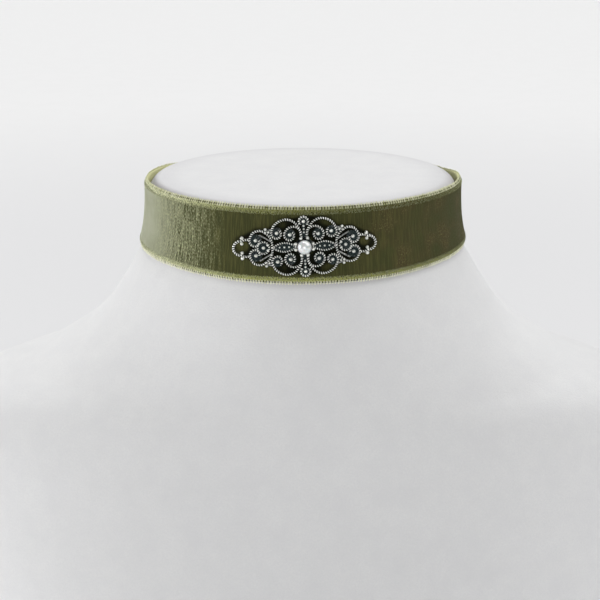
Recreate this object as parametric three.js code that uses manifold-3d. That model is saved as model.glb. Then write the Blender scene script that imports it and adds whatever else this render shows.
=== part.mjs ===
// A velvet ribbon choker with a silver filigree plaque and a pearl, on a plain neck bust.
// Millimetres, +Z up. The front faces -Y, and the origin is the middle of the bust's base.
import * as THREE from "three";
import { mergeVertices } from "three/addons/utils/BufferGeometryUtils.js";
import Module from "manifold-3d";

const wasm = await Module();
wasm.setup();

// Neck bust
const BUST_HEIGHT = 190;
const NECK_HALF_WIDTH = 51.3;
const NECK_HALF_DEPTH = 51.3;
const NECK_LENGTH = 24;
const NECK_WIDENING = 3.2;
const NECK_HOLLOW = 2.75;
const NECK_EDGE_RADIUS = 4.5;
const SHOULDER_HALF_WIDTH = 127;
const CHEST_DEPTH = 75;
const BACK_DEPTH = 58;
const BASE_EDGE_RADIUS = 2;

// Velvet ribbon
const RIBBON_WIDTH = 22.5;
const PILE_THICKNESS = 1.4;
const SELVEDGE_THICKNESS = 1.0;
const SELVEDGE_WIDTH = 1.7;
const PILE_SLOPE = 0.3;
const RIBBON_TOP_DROP = 0.75;
const RIBBON_FRONT_RISE = 1.5;
const RIBBON_SIDE_RISE = 0.3;
const RIBBON_TOP_WAVE = 0.5;
const RIBBON_FOOT_WAVE = 0.5;
const RIBBON_BACK_GAP = 14;
const STRAIGHTEN_LENGTH = 20;
const CLEARANCE = 0.3;

// Clasp
const JAW_WALL = 0.6;
const JAW_LENGTH = 7;
const JAW_OVERLAP = 5;
const LIFT_LENGTH = 16;
const BRIDGE_HEIGHT = 8;

// Filigree plaque and pearl
const PLAQUE_HALF_LENGTH = 21.9;
const PLAQUE_HALF_HEIGHT = 9.25;
const PLAQUE_DROP = 11.1;
const PLAQUE_SHIFT = 0.35;
const PLAQUE_TILT = 2.4;
const PLAQUE_BEND_RADIUS = 140;
const WIRE_RADIUS = 0.4;
const LOOP_WIRE_RADIUS = 0.48;
const PLATE_THICKNESS = 0.4;
const WIRE_SEAT = 0.45;
const GRANULE_LIFT = 0.25;
const CURL_HOLD = 0.4;
const PEARL_RADIUS = 2.1;
const PEARL_STANDOFF = 2.7;
const CUP_HOLE_RADIUS = 1.2;
const CUP_RADIUS = 1.8;

// Number of facets
const BUST_SIDES = 44;
const RIBBON_STEPS = 68;
const SECTION_STEP = 5.5;
const CLASP_STEPS = 3;
const WIRE_SIDES = 5;
const WIRE_STEP = 1.36;
const CURL_STEPS = 8;
const RING_STEPS = 12;
const LEAF_STEPS = 6;
const ARC_STEPS = 9;
const GRANULE_SIDES = 10;
const GRANULE_BANDS = 4;
const PEARL_SIDES = 16;

// Levels of the neck between its rounded top and its foot, in shares of its length.
const NECK_LEVELS = [0.38, 0.55, 0.7, 0.82, 0.92];

// Sections of the bust under the neck, from the neck's foot down to the base. drop is a share of the height
// below the neck, width, front and back are shares of the way from the neck's foot to the shoulder's half
// width, the chest's depth and the back's depth, and square is the exponent of the outline (2 is an ellipse).
const BUST_SECTIONS = [
  { drop: 0.0, width: 0.0, front: 0.0, back: 0.0, square: 2.0 },
  { drop: 0.024, width: 0.033, front: 0.05, back: 0.03, square: 2.0 },
  { drop: 0.055, width: 0.072, front: 0.105, back: 0.1, square: 2.0 },
  { drop: 0.084, width: 0.116, front: 0.152, back: 0.2, square: 2.0 },
  { drop: 0.115, width: 0.164, front: 0.197, back: 0.3, square: 2.0 },
  { drop: 0.146, width: 0.231, front: 0.238, back: 0.42, square: 2.0 },
  { drop: 0.169, width: 0.298, front: 0.266, back: 0.52, square: 2.0 },
  { drop: 0.193, width: 0.385, front: 0.293, back: 0.62, square: 2.0 },
  { drop: 0.217, width: 0.477, front: 0.319, back: 0.72, square: 2.0 },
  { drop: 0.235, width: 0.563, front: 0.338, back: 0.8, square: 2.0 },
  { drop: 0.253, width: 0.69, front: 0.357, back: 0.86, square: 2.02 },
  { drop: 0.274, width: 0.809, front: 0.378, back: 0.92, square: 2.04 },
  { drop: 0.307, width: 0.911, front: 0.41, back: 0.97, square: 2.06 },
  { drop: 0.349, width: 0.973, front: 0.45, back: 1.0, square: 2.08 },
  { drop: 0.41, width: 1.0, front: 0.507, back: 1.0, square: 2.1 },
  { drop: 0.542, width: 0.986, front: 0.63, back: 0.9, square: 2.1 },
  { drop: 0.723, width: 0.904, front: 0.79, back: 0.6, square: 2.1 },
  { drop: 0.873, width: 0.809, front: 0.913, back: 0.35, square: 2.1 },
  { drop: 1.0, width: 0.713, front: 1.0, back: 0.1, square: 2.1 },
];

// Scrolls of one quarter of the plaque. along is a share of the plaque's half length; up, ring and end are
// shares of its half height. The wire follows the lead points and then curls round its eye from one angle to
// the other, in degrees, at the ring radius that tightens to the end radius.
const SCROLLS = [
  {
    eye: { along: 0.372, up: 0.465 },
    ring: 0.176,
    end: 0.122,
    from: 28,
    to: -235,
    lead: [
      { along: 0.039, up: 0.3 },
      { along: 0.05, up: 0.519 },
      { along: 0.087, up: 0.681 },
      { along: 0.146, up: 0.827 },
      { along: 0.237, up: 0.892 },
      { along: 0.329, up: 0.843 },
      { along: 0.402, up: 0.714 },
    ],
  },
  {
    eye: { along: 0.192, up: 0.4 },
    ring: 0.182,
    end: 0.117,
    from: 35,
    to: -222,
    lead: [
      { along: 0.036, up: 0.3 },
      { along: 0.048, up: 0.497 },
      { along: 0.082, up: 0.611 },
      { along: 0.142, up: 0.654 },
      { along: 0.205, up: 0.622 },
    ],
  },
  {
    eye: { along: 0.664, up: 0.246 },
    ring: 0.198,
    end: 0.105,
    from: 28,
    to: -195,
    lead: [
      { along: 0.53, up: 0.486 },
      { along: 0.575, up: 0.541 },
      { along: 0.621, up: 0.551 },
      { along: 0.689, up: 0.503 },
    ],
  },
];

// Plain wires of one quarter, in the same shares.
const BRACES = [
  [
    { along: 0.53, up: 0.486 },
    { along: 0.474, up: 0.36 },
    { along: 0.442, up: 0.19 },
    { along: 0.437, up: 0.0 },
  ],
  [
    { along: 0.455, up: 0.2 },
    { along: 0.53, up: 0.31 },
    { along: 0.615, up: 0.42 },
  ],
  [
    { along: 0.437, up: 0.59 },
    { along: 0.488, up: 0.552 },
    { along: 0.535, up: 0.49 },
  ],
  [
    { along: 0.868, up: 0.222 },
    { along: 0.815, up: 0.27 },
    { along: 0.748, up: 0.27 },
  ],
];

// Granules of one quarter: place in the same shares, radius in shares of the half height.
const GRANULES = [
  { along: 0.372, up: 0.465, radius: 0.062 },
  { along: 0.192, up: 0.4, radius: 0.065 },
  { along: 0.664, up: 0.246, radius: 0.061 },
  { along: 0.525, up: 0.592, radius: 0.046 },
  { along: 0.484, up: 0.5, radius: 0.037 },
  { along: 0.85, up: 0.325, radius: 0.062 },
  { along: 0.852, up: 0.146, radius: 0.056 },
  { along: 0.559, up: 0.0, radius: 0.057 },
  { along: 0.5, up: 0.087, radius: 0.041 },
  { along: 0.21, up: 0.0, radius: 0.035 },
  { along: 0.274, up: 0.0, radius: 0.037 },
  { along: 0.338, up: 0.0, radius: 0.035 },
  { along: 0.0, up: 0.811, radius: 0.06 },
  { along: 0.0, up: 0.668, radius: 0.038 },
  { along: 0.0, up: 0.562, radius: 0.035 },
  { along: 0.0, up: 0.46, radius: 0.032 },
];

// Round parts of the plaque, in the same shares.
const ROUNDEL = { along: 0.559, radius: 0.192 };
const END_LOOP = { along: 0.876, radius: 0.227, open: 100 };
const FINIAL = { up: 0.811, radius: 0.145, open: 135 };
const LEAF = { from: 0.112, to: 0.43, rise: 0.144, fullness: 0.8 };
const STEM = { foot: 0.27, footHalf: 0.03, topHalf: 0.075 };
const PRONG = { reach: 0.292, radius: 0.053, angles: [18.5, 69] };
const JUNCTION = { along: 0.49, up: 0.51, radius: 0.1 };

const AXIS_Y = (CHEST_DEPTH - BACK_DEPTH) / 2;
const HALF_TURN = Math.PI;
const FULL_TURN = 2 * Math.PI;

// How much wider the neck is at a depth below its top: it opens slowly at first and faster towards its foot.
function neckGrowth(drop) {
  return NECK_WIDENING * (Math.max(drop, 0) / NECK_LENGTH) ** NECK_HOLLOW;
}

// Half width and half depth of the neck at a depth below its top.
function neckAt(drop) {
  const growth = neckGrowth(drop);
  return { width: NECK_HALF_WIDTH + growth, depth: NECK_HALF_DEPTH + growth };
}

// Point of a level outline at an angle from the front (-Y) towards +X, with its own depth to each side.
function outlinePoint(width, front, back, square, angle, z) {
  const s = Math.sin(angle);
  const c = Math.cos(angle);
  const x = width * Math.sign(s) * Math.abs(s) ** (2 / square);
  const y = (c > 0 ? front : back) * Math.sign(c) * Math.abs(c) ** (2 / square);
  return new THREE.Vector3(x, AXIS_Y - y, z);
}

// Closed mesh through rings of points, with a fan to a middle point at each end.
function loft(rings) {
  const count = rings[0].length;
  const points = rings.flat();
  const faces = [];
  for (let r = 0; r < rings.length - 1; r++) {
    for (let i = 0; i < count; i++) {
      const j = (i + 1) % count;
      const a = r * count + i;
      const b = r * count + j;
      faces.push(a, b, b + count, a, b + count, a + count);
    }
  }
  addCap(points, faces, rings[0], 0, true);
  addCap(points, faces, rings.at(-1), (rings.length - 1) * count, false);
  const geometry = new THREE.BufferGeometry().setFromPoints(points);
  geometry.setIndex(faces);
  geometry.computeVertexNormals();
  return geometry;
}

// Fan from the ring's middle point over one end of a loft.
function addCap(points, faces, ring, start, atStart) {
  const middle = new THREE.Vector3();
  for (const p of ring) middle.addScaledVector(p, 1 / ring.length);
  const hub = points.push(middle) - 1;
  for (let i = 0; i < ring.length; i++) {
    const j = (i + 1) % ring.length;
    if (atStart) faces.push(hub, start + j, start + i);
    else faces.push(hub, start + i, start + j);
  }
}

// Solid for joining and cutting, from a closed geometry.
function toSolid(geometry) {
  const bare = geometry.clone();
  bare.deleteAttribute("normal");
  bare.deleteAttribute("uv");
  const merged = mergeVertices(bare, 1e-4);
  return new wasm.Manifold(
    new wasm.Mesh({
      numProp: 3,
      vertProperties: new Float32Array(merged.attributes.position.array),
      triVerts: new Uint32Array(merged.index.array),
    }),
  );
}

// Geometry of a solid, each vertex moved by a function of its place.
function toGeometry(solid, move = (p) => p) {
  const mesh = solid.getMesh();
  const points = [];
  for (let i = 0; i < mesh.numVert; i++) {
    const at = i * mesh.numProp;
    points.push(move(new THREE.Vector3().fromArray(mesh.vertProperties, at)));
  }
  const geometry = new THREE.BufferGeometry().setFromPoints(points);
  geometry.setIndex([...mesh.triVerts]);
  geometry.computeVertexNormals();
  return geometry;
}

// Neck bust: rounded neck top, hollow neck, shoulders and chest, and a flat base.
function neckBust() {
  const foot = neckAt(NECK_LENGTH);
  const below = BUST_HEIGHT - NECK_LENGTH;
  const levels = [];
  for (const turn of [0, 0.25, 0.5, 0.75, 1]) {
    const drop = NECK_EDGE_RADIUS * (1 - Math.cos((turn * HALF_TURN) / 2));
    const inset = NECK_EDGE_RADIUS * (1 - Math.sin((turn * HALF_TURN) / 2));
    const neck = neckAt(drop);
    const depth = neck.depth - inset;
    levels.push({ z: BUST_HEIGHT - drop, width: neck.width - inset, front: depth, back: depth, square: 2 });
  }
  for (const share of NECK_LEVELS) {
    const neck = neckAt(share * NECK_LENGTH);
    const z = BUST_HEIGHT - share * NECK_LENGTH;
    levels.push({ z, width: neck.width, front: neck.depth, back: neck.depth, square: 2 });
  }
  for (const row of BUST_SECTIONS) {
    levels.push({
      z: below * (1 - row.drop),
      width: foot.width + row.width * (SHOULDER_HALF_WIDTH - foot.width),
      front: foot.depth + row.front * (CHEST_DEPTH - foot.depth),
      back: foot.depth + row.back * (BACK_DEPTH - foot.depth),
      square: row.square,
    });
  }
  const base = levels.at(-1);
  base.z = BASE_EDGE_RADIUS;
  levels.push({
    z: 0,
    width: base.width - BASE_EDGE_RADIUS,
    front: base.front - BASE_EDGE_RADIUS,
    back: base.back - BASE_EDGE_RADIUS,
    square: base.square,
  });
  const rings = levels.map((level) => {
    const ring = [];
    for (let i = 0; i < BUST_SIDES; i++) {
      const angle = (-i * FULL_TURN) / BUST_SIDES;
      ring.push(outlinePoint(level.width, level.front, level.back, level.square, angle, level.z));
    }
    return ring;
  });
  return loft(rings);
}

// Rise from 0 to 1 with level ends.
function ease(t) {
  const s = THREE.MathUtils.clamp(t, 0, 1);
  return s * s * (3 - 2 * s);
}

// Angle from the front at which the ribbon ends, at the back of the neck.
const ribbonEndAngle = HALF_TURN - RIBBON_BACK_GAP / 2 / (NECK_HALF_WIDTH + PILE_THICKNESS);

// Height of the ribbon's top edge at an angle from the front.
function ribbonTop(angle) {
  const rise = RIBBON_FRONT_RISE * Math.cos(angle) + RIBBON_SIDE_RISE * Math.sin(angle);
  return BUST_HEIGHT - RIBBON_TOP_DROP + rise - RIBBON_TOP_WAVE * Math.cos(2 * angle);
}

// Slope of the ribbon where it lies straight over the neck's hollow.
const straightSlope = NECK_WIDENING / NECK_LENGTH;

// Height at a distance down the ribbon from its top edge: it hangs a little lower at the front and the back.
function ribbonHeight(angle, down) {
  const slant = Math.sqrt(1 - straightSlope * straightSlope);
  const dip = (RIBBON_FOOT_WAVE * Math.cos(2 * angle) * down) / RIBBON_WIDTH;
  return ribbonTop(angle) - down * slant - dip;
}

// How far the ribbon's inner side stands off the neck: it lifts over the clasp's inner walls at the back.
function ribbonStandoff(angle) {
  const fromEnd = (ribbonEndAngle - Math.abs(angle)) * NECK_HALF_WIDTH;
  const lift = 1 - ease((fromEnd - JAW_OVERLAP) / (LIFT_LENGTH - JAW_OVERLAP));
  return CLEARANCE + lift * (JAW_WALL + CLEARANCE);
}

// How straight the ribbon lies at an angle from the front: the plaque and the clasp hold it straight, and
// between them it follows the neck's hollow.
function straightness(angle) {
  const fromPlaque = Math.abs(angle) * NECK_HALF_WIDTH - PLAQUE_HALF_LENGTH;
  const fromClasp = (ribbonEndAngle - Math.abs(angle)) * NECK_HALF_WIDTH - LIFT_LENGTH;
  return 1 - ease(fromPlaque / STRAIGHTEN_LENGTH) * ease(fromClasp / STRAIGHTEN_LENGTH);
}

// Point of the band round the neck: an angle from the front, a height, and a distance out from the neck.
function bandPoint(angle, z, out) {
  const drop = Math.max(BUST_HEIGHT - z, 0);
  const clear = out + straightness(angle) * (straightSlope * drop - neckGrowth(drop));
  const neck = neckAt(drop);
  return outlinePoint(neck.width + clear, neck.depth + clear, neck.depth + clear, 2, angle, z);
}

// Section with its long sides split, so that they can follow the neck's hollow.
function splitSides(section) {
  return section.flatMap((from, i) => {
    const to = section[(i + 1) % section.length];
    const steps = Math.max(1, Math.round(Math.abs(to.down - from.down) / SECTION_STEP));
    return Array.from({ length: steps }, (_, j) => ({
      down: from.down + ((to.down - from.down) * j) / steps,
      out: from.out + ((to.out - from.out) * j) / steps,
    }));
  });
}

// Closed section swept round the neck, from a list of { down, out } at each angle.
function bandSweep(angles, section, standoffAt) {
  const outline = section.toReversed();
  const rings = angles.map((angle) =>
    outline.map(({ down, out }) => bandPoint(angle, ribbonHeight(angle, down), standoffAt(angle) + out)),
  );
  return loft(rings);
}

function anglesBetween(from, to, steps) {
  return Array.from({ length: steps + 1 }, (_, i) => from + ((to - from) * i) / steps);
}

// Velvet ribbon: a pile field between two thinner selvedges.
function velvetRibbon() {
  const pileTop = SELVEDGE_WIDTH + PILE_SLOPE;
  const pileFoot = RIBBON_WIDTH - pileTop;
  const section = [
    { down: 0, out: 0 },
    { down: RIBBON_WIDTH, out: 0 },
    { down: RIBBON_WIDTH, out: SELVEDGE_THICKNESS },
    { down: RIBBON_WIDTH - SELVEDGE_WIDTH, out: SELVEDGE_THICKNESS },
    { down: pileFoot, out: PILE_THICKNESS },
    { down: pileTop, out: PILE_THICKNESS },
    { down: SELVEDGE_WIDTH, out: SELVEDGE_THICKNESS },
    { down: 0, out: SELVEDGE_THICKNESS },
  ];
  const angles = anglesBetween(-ribbonEndAngle, ribbonEndAngle, RIBBON_STEPS);
  return bandSweep(angles, splitSides(section), ribbonStandoff);
}

// Clasp: a jaw over each ribbon end, joined by a bridge, with a slot in each jaw for the ribbon.
function clasp() {
  const margin = CLEARANCE + JAW_WALL;
  const bodyThickness = 2 * margin + PILE_THICKNESS;
  const perRadian = NECK_HALF_WIDTH + PILE_THICKNESS;
  const endAngle = ribbonEndAngle - JAW_OVERLAP / perRadian;
  const jawAngle = JAW_LENGTH / perRadian;
  const slotAngle = ribbonEndAngle + CLEARANCE / perRadian;
  const onNeck = () => CLEARANCE;
  const box = (top, foot, inner, outer) => [
    { down: top, out: inner },
    { down: foot, out: inner },
    { down: foot, out: outer },
    { down: top, out: outer },
  ];
  const middle = RIBBON_WIDTH / 2;
  const jawBox = box(-margin, RIBBON_WIDTH + margin, 0, bodyThickness);
  const bridgeBox = box(middle - BRIDGE_HEIGHT / 2, middle + BRIDGE_HEIGHT / 2, 0, bodyThickness - JAW_WALL);
  const slotBox = box(-CLEARANCE, RIBBON_WIDTH + CLEARANCE, JAW_WALL, bodyThickness - JAW_WALL);
  const sweep = (from, to, section) =>
    toSolid(bandSweep(anglesBetween(from, to, CLASP_STEPS), section, onNeck));
  const far = FULL_TURN - endAngle;
  return toGeometry(
    sweep(endAngle, endAngle + jawAngle, jawBox)
      .add(sweep(far - jawAngle, far, jawBox))
      .add(sweep(endAngle + jawAngle / 2, far - jawAngle / 2, bridgeBox))
      .subtract(sweep(endAngle - jawAngle, slotAngle, slotBox))
      .subtract(sweep(FULL_TURN - slotAngle, far + jawAngle, slotBox)),
  );
}

// Place on the flat plaque, in millimetres, of shares of its half length and half height.
function onPlaque({ along, up }, out = 0) {
  return new THREE.Vector3(along * PLAQUE_HALF_LENGTH, up * PLAQUE_HALF_HEIGHT, out);
}

// Round wire along a route of points on the flat plaque.
function wire(route, radius = WIRE_RADIUS) {
  const path = new THREE.CatmullRomCurve3(route, false, "centripetal");
  const section = new THREE.Shape();
  for (let i = 0; i < WIRE_SIDES; i++) {
    const angle = (i * FULL_TURN) / WIRE_SIDES;
    const x = radius * Math.cos(angle);
    const y = radius * Math.sin(angle);
    if (i === 0) section.moveTo(x, y);
    else section.lineTo(x, y);
  }
  section.closePath();
  const steps = Math.max(2, Math.round(path.getLength() / WIRE_STEP));
  return toSolid(new THREE.ExtrudeGeometry(section, { extrudePath: path, steps, bevelEnabled: false }));
}

// Points of an arc on the flat plaque, at the height of a wire's middle.
function arcRoute(middle, radius, fromDegrees, toDegrees, steps, tighten = () => 1) {
  return Array.from({ length: steps + 1 }, (_, i) => {
    const share = i / steps;
    const angle = THREE.MathUtils.degToRad(fromDegrees + (toDegrees - fromDegrees) * share);
    const r = radius * tighten(share);
    return new THREE.Vector3(middle.x + r * Math.cos(angle), middle.y + r * Math.sin(angle), WIRE_SEAT);
  });
}

// Route of a scroll: its lead points, then the curl round its eye.
function scrollRoute(scroll) {
  const lead = scroll.lead.map((place) => onPlaque(place, WIRE_SEAT));
  const tighten = (share) => 1 - (1 - scroll.end / scroll.ring) * ease((share - CURL_HOLD) / (1 - CURL_HOLD));
  const ring = scroll.ring * PLAQUE_HALF_HEIGHT;
  return lead.concat(arcRoute(onPlaque(scroll.eye), ring, scroll.from, scroll.to, CURL_STEPS, tighten));
}

// The one, two or four mirrored copies of a route, with no copy onto itself.
function mirrored(route) {
  const copies = new Map();
  for (const flipAlong of [1, -1]) {
    for (const flipUp of [1, -1]) {
      const copy = route.map((p) => new THREE.Vector3(p.x * flipAlong, p.y * flipUp, p.z));
      const key = copy.map((p) => `${Math.round(p.x * 1000)},${Math.round(p.y * 1000)}`).join(" ");
      copies.set(key, copy);
    }
  }
  return [...copies.values()];
}

// Thin plate of a flat outline, from the plaque's back up.
function plate(shape) {
  const settings = { depth: PLATE_THICKNESS, bevelEnabled: false, curveSegments: 6 };
  return toSolid(new THREE.ExtrudeGeometry(shape, settings));
}

// Round plate on the flat plaque.
function disc(middle, radius) {
  const shape = new THREE.Shape();
  shape.absarc(middle.x, middle.y, radius, 0, FULL_TURN, false);
  return plate(shape);
}

// Small ball standing on the plaque.
function granule(middle, radius) {
  const ball = new THREE.SphereGeometry(radius, GRANULE_SIDES, GRANULE_BANDS);
  ball.rotateX(HALF_TURN / 2);
  ball.translate(middle.x, middle.y, WIRE_SEAT + GRANULE_LIFT * radius);
  return toSolid(ball);
}

// Pointed leaf from the cup to the brace: a thin plate with a wire along each edge. The edge's rise is a sine
// of the way along the leaf, made a little fuller.
function leafPieces(side) {
  const edge = (up) =>
    Array.from({ length: LEAF_STEPS + 1 }, (_, i) => {
      const share = i / LEAF_STEPS;
      const along = LEAF.from + (LEAF.to - LEAF.from) * share;
      const rise = LEAF.rise * Math.abs(Math.sin(HALF_TURN * share)) ** LEAF.fullness;
      return onPlaque({ along: side * along, up: up * rise }, WIRE_SEAT);
    });
  const outline = [...edge(1), ...edge(-1).reverse().slice(1, -1)];
  const shape = new THREE.Shape(outline.map((p) => new THREE.Vector2(p.x, p.y)));
  return [plate(shape), wire(edge(1)), wire(edge(-1))];
}

// Finial loop with its stem plate down to the cup, above or below the pearl.
function finialPieces(side) {
  const middle = onPlaque({ along: 0, up: side * FINIAL.up });
  const radius = FINIAL.radius * PLAQUE_HALF_HEIGHT;
  const from = 90 * side - FINIAL.open;
  const foot = side * STEM.foot * PLAQUE_HALF_HEIGHT;
  const stem = new THREE.Shape([
    new THREE.Vector2(-STEM.footHalf * PLAQUE_HALF_HEIGHT, foot),
    new THREE.Vector2(STEM.footHalf * PLAQUE_HALF_HEIGHT, foot),
    new THREE.Vector2(STEM.topHalf * PLAQUE_HALF_HEIGHT, middle.y),
    new THREE.Vector2(-STEM.topHalf * PLAQUE_HALF_HEIGHT, middle.y),
  ]);
  const loop = arcRoute(middle, radius, from, from + 2 * FINIAL.open, ARC_STEPS);
  return [wire(loop), disc(middle, radius), plate(stem)];
}

// Roundel between the brace and the outer scrolls, and the loop at the plaque's end.
function sidePieces(side) {
  const middle = onPlaque({ along: side * ROUNDEL.along, up: 0 });
  const radius = ROUNDEL.radius * PLAQUE_HALF_HEIGHT;
  const ring = new THREE.TorusGeometry(radius, WIRE_RADIUS, WIRE_SIDES, RING_STEPS);
  ring.translate(middle.x, middle.y, WIRE_SEAT);
  const end = onPlaque({ along: side * END_LOOP.along, up: 0 });
  const facing = side > 0 ? 0 : 180;
  const loopRadius = END_LOOP.radius * PLAQUE_HALF_HEIGHT;
  const route = arcRoute(end, loopRadius, facing - END_LOOP.open, facing + END_LOOP.open, ARC_STEPS);
  return [disc(middle, radius), toSolid(ring), wire(route, LOOP_WIRE_RADIUS)];
}

// Cup for the pearl: a plate with a round hole, a dished rim and pairs of granule prongs.
function cupPieces() {
  const floor = new THREE.Shape();
  const reach = PRONG.reach * PLAQUE_HALF_HEIGHT;
  floor.absarc(0, 0, reach, 0, FULL_TURN, false);
  const hole = new THREE.Path();
  hole.absarc(0, 0, CUP_HOLE_RADIUS, 0, FULL_TURN, true);
  floor.holes.push(hole);
  const rimAt = (r) => PEARL_STANDOFF - Math.sqrt((PEARL_RADIUS + CLEARANCE) ** 2 - r * r);
  const profile = [
    new THREE.Vector2(CUP_HOLE_RADIUS, 0),
    new THREE.Vector2(CUP_RADIUS, 0),
    new THREE.Vector2(CUP_RADIUS, rimAt(CUP_RADIUS)),
    new THREE.Vector2(CUP_HOLE_RADIUS, rimAt(CUP_HOLE_RADIUS)),
    new THREE.Vector2(CUP_HOLE_RADIUS, 0),
  ];
  const rim = new THREE.LatheGeometry(profile, PEARL_SIDES);
  rim.rotateX(HALF_TURN / 2);
  const pieces = [plate(floor), toSolid(rim)];
  for (const degrees of PRONG.angles) {
    const angle = THREE.MathUtils.degToRad(degrees);
    const at = new THREE.Vector3(reach * Math.cos(angle), reach * Math.sin(angle), 0);
    for (const place of mirrored([at]).flat()) {
      pieces.push(granule(place, PRONG.radius * PLAQUE_HALF_HEIGHT));
    }
  }
  return pieces;
}

// All pieces of the flat plaque joined into one solid.
function flatPlaque() {
  const pieces = cupPieces();
  const scaled = (share) => share * PLAQUE_HALF_HEIGHT;
  const places = (spot) => mirrored([onPlaque(spot)]).flat();
  for (const scroll of SCROLLS) {
    for (const route of mirrored(scrollRoute(scroll))) pieces.push(wire(route));
    for (const eye of places(scroll.eye)) pieces.push(disc(eye, scaled(scroll.ring)));
  }
  for (const brace of BRACES) {
    const quarter = brace.map((place) => onPlaque(place, WIRE_SEAT));
    for (const route of mirrored(quarter)) pieces.push(wire(route));
  }
  for (const spot of GRANULES) {
    for (const place of places(spot)) pieces.push(granule(place, scaled(spot.radius)));
  }
  for (const place of places(JUNCTION)) pieces.push(disc(place, scaled(JUNCTION.radius)));
  for (const side of [1, -1]) pieces.push(...leafPieces(side), ...finialPieces(side), ...sidePieces(side));
  return wasm.Manifold.union(pieces);
}

// Where the plaque's middle lies on the front of the ribbon, and how far its face leans back.
const plaqueZ = BUST_HEIGHT - PLAQUE_DROP;
const plaqueFront = NECK_HALF_DEPTH + straightSlope * PLAQUE_DROP + 2 * CLEARANCE + PILE_THICKNESS;
const plaqueLean = Math.atan(straightSlope);
const plaqueTurn = THREE.MathUtils.degToRad(PLAQUE_TILT) + RIBBON_SIDE_RISE / NECK_HALF_WIDTH;

// Bend of the flat plaque round the ribbon's front: tilted, leaned back with the ribbon and curved.
function bend(p) {
  const along = p.x * Math.cos(plaqueTurn) - p.y * Math.sin(plaqueTurn);
  const up = p.x * Math.sin(plaqueTurn) + p.y * Math.cos(plaqueTurn);
  const angle = along / PLAQUE_BEND_RADIUS;
  const radius = PLAQUE_BEND_RADIUS + p.z * Math.cos(plaqueLean) - up * Math.sin(plaqueLean);
  return new THREE.Vector3(
    PLAQUE_SHIFT + radius * Math.sin(angle),
    AXIS_Y - plaqueFront + PLAQUE_BEND_RADIUS - radius * Math.cos(angle),
    plaqueZ + up * Math.cos(plaqueLean) + p.z * Math.sin(plaqueLean),
  );
}

function pearl() {
  const ball = new THREE.SphereGeometry(PEARL_RADIUS, PEARL_SIDES, PEARL_SIDES / 2);
  const middle = bend(new THREE.Vector3(0, 0, PEARL_STANDOFF));
  ball.translate(middle.x, middle.y, middle.z);
  return ball;
}

function piece(name, geometry, color, roughness, metalness) {
  const mesh = new THREE.Mesh(geometry, new THREE.MeshStandardMaterial({ color, roughness, metalness }));
  mesh.name = name;
  return mesh;
}

const choker = new THREE.Group();
choker.add(
  piece("neck_bust", neckBust(), 0xe6e4e4, 0.95, 0),
  piece("velvet_ribbon", velvetRibbon(), 0x5c5a30, 0.9, 0),
  piece("clasp", clasp(), 0x9a9a94, 0.4, 1),
  piece("filigree", toGeometry(flatPlaque(), bend), 0x8e9290, 0.35, 1),
  piece("pearl", pearl(), 0xf4f3ee, 0.25, 0),
);

export default choker;
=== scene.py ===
import bpy
import numpy as np
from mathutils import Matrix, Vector


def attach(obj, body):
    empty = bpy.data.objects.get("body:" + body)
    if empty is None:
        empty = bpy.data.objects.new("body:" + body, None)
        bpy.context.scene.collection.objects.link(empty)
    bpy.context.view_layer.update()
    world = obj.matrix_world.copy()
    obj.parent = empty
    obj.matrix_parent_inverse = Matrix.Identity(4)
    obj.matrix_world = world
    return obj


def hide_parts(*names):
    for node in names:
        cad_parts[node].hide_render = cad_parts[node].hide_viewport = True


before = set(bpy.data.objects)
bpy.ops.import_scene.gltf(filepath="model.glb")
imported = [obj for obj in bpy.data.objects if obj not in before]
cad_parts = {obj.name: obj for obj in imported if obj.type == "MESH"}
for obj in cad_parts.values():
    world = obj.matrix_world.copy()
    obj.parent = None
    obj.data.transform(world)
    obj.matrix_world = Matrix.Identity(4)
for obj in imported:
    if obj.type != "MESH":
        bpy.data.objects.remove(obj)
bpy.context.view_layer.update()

print("nodes:", sorted(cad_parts))

# %% [markdown]
# ## Camera
# A long lens at the height of a standing person's eyes, in miniature: 17 degrees down, 450 mm away. The camera
# comes first, because it says which details are seen closely.
# %% Camera
MM = 0.001
EYE = (-1.0, -421.84, 276.97)
LOOKED_AT = (-1.0, 8.5, 145.4)
LENS_MM = 78
SENSOR_MM = 36

lens = bpy.data.cameras.new("camera")
lens.lens = LENS_MM
lens.sensor_width = SENSOR_MM
lens.clip_start = 0.01
lens.clip_end = 100
camera = bpy.data.objects.new("camera", lens)
camera.location = Vector(EYE) * MM
sight = Vector(LOOKED_AT) - Vector(EYE)
camera.rotation_euler = sight.to_track_quat("-Z", "Y").to_euler()
bpy.context.scene.collection.objects.link(camera)
bpy.context.scene.camera = camera
bpy.context.scene.view_settings.view_transform = "Standard"
print("camera is", round(sight.length), "mm away")

# %% [markdown]
# ## Sizes
# The sizes of the neck and the ribbon repeat those of the model, in millimetres, so that the fine pieces lie
# where the plain solids are. All the shapes below are worked out in millimetres.
# %% Sizes of the neck and the ribbon
BUST_HEIGHT = 190
NECK_RADIUS = 51.3
NECK_LENGTH = 24
NECK_WIDENING = 3.2
NECK_HOLLOW = 2.75
NECK_EDGE_RADIUS = 4.5
SHOULDER_HALF_WIDTH = 127
CHEST_DEPTH = 75
BACK_DEPTH = 58
BASE_EDGE_RADIUS = 2
AXIS_Y = (CHEST_DEPTH - BACK_DEPTH) / 2
RIBBON_WIDTH = 22.5
PILE_THICKNESS = 1.4
SELVEDGE_THICKNESS = 1.0
CLEARANCE = 0.3
JAW_WALL = 0.6
JAW_OVERLAP = 5
LIFT_LENGTH = 16
STRAIGHTEN_LENGTH = 20
PLAQUE_HALF_LENGTH = 21.9
HALF_OPENING = 7
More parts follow.
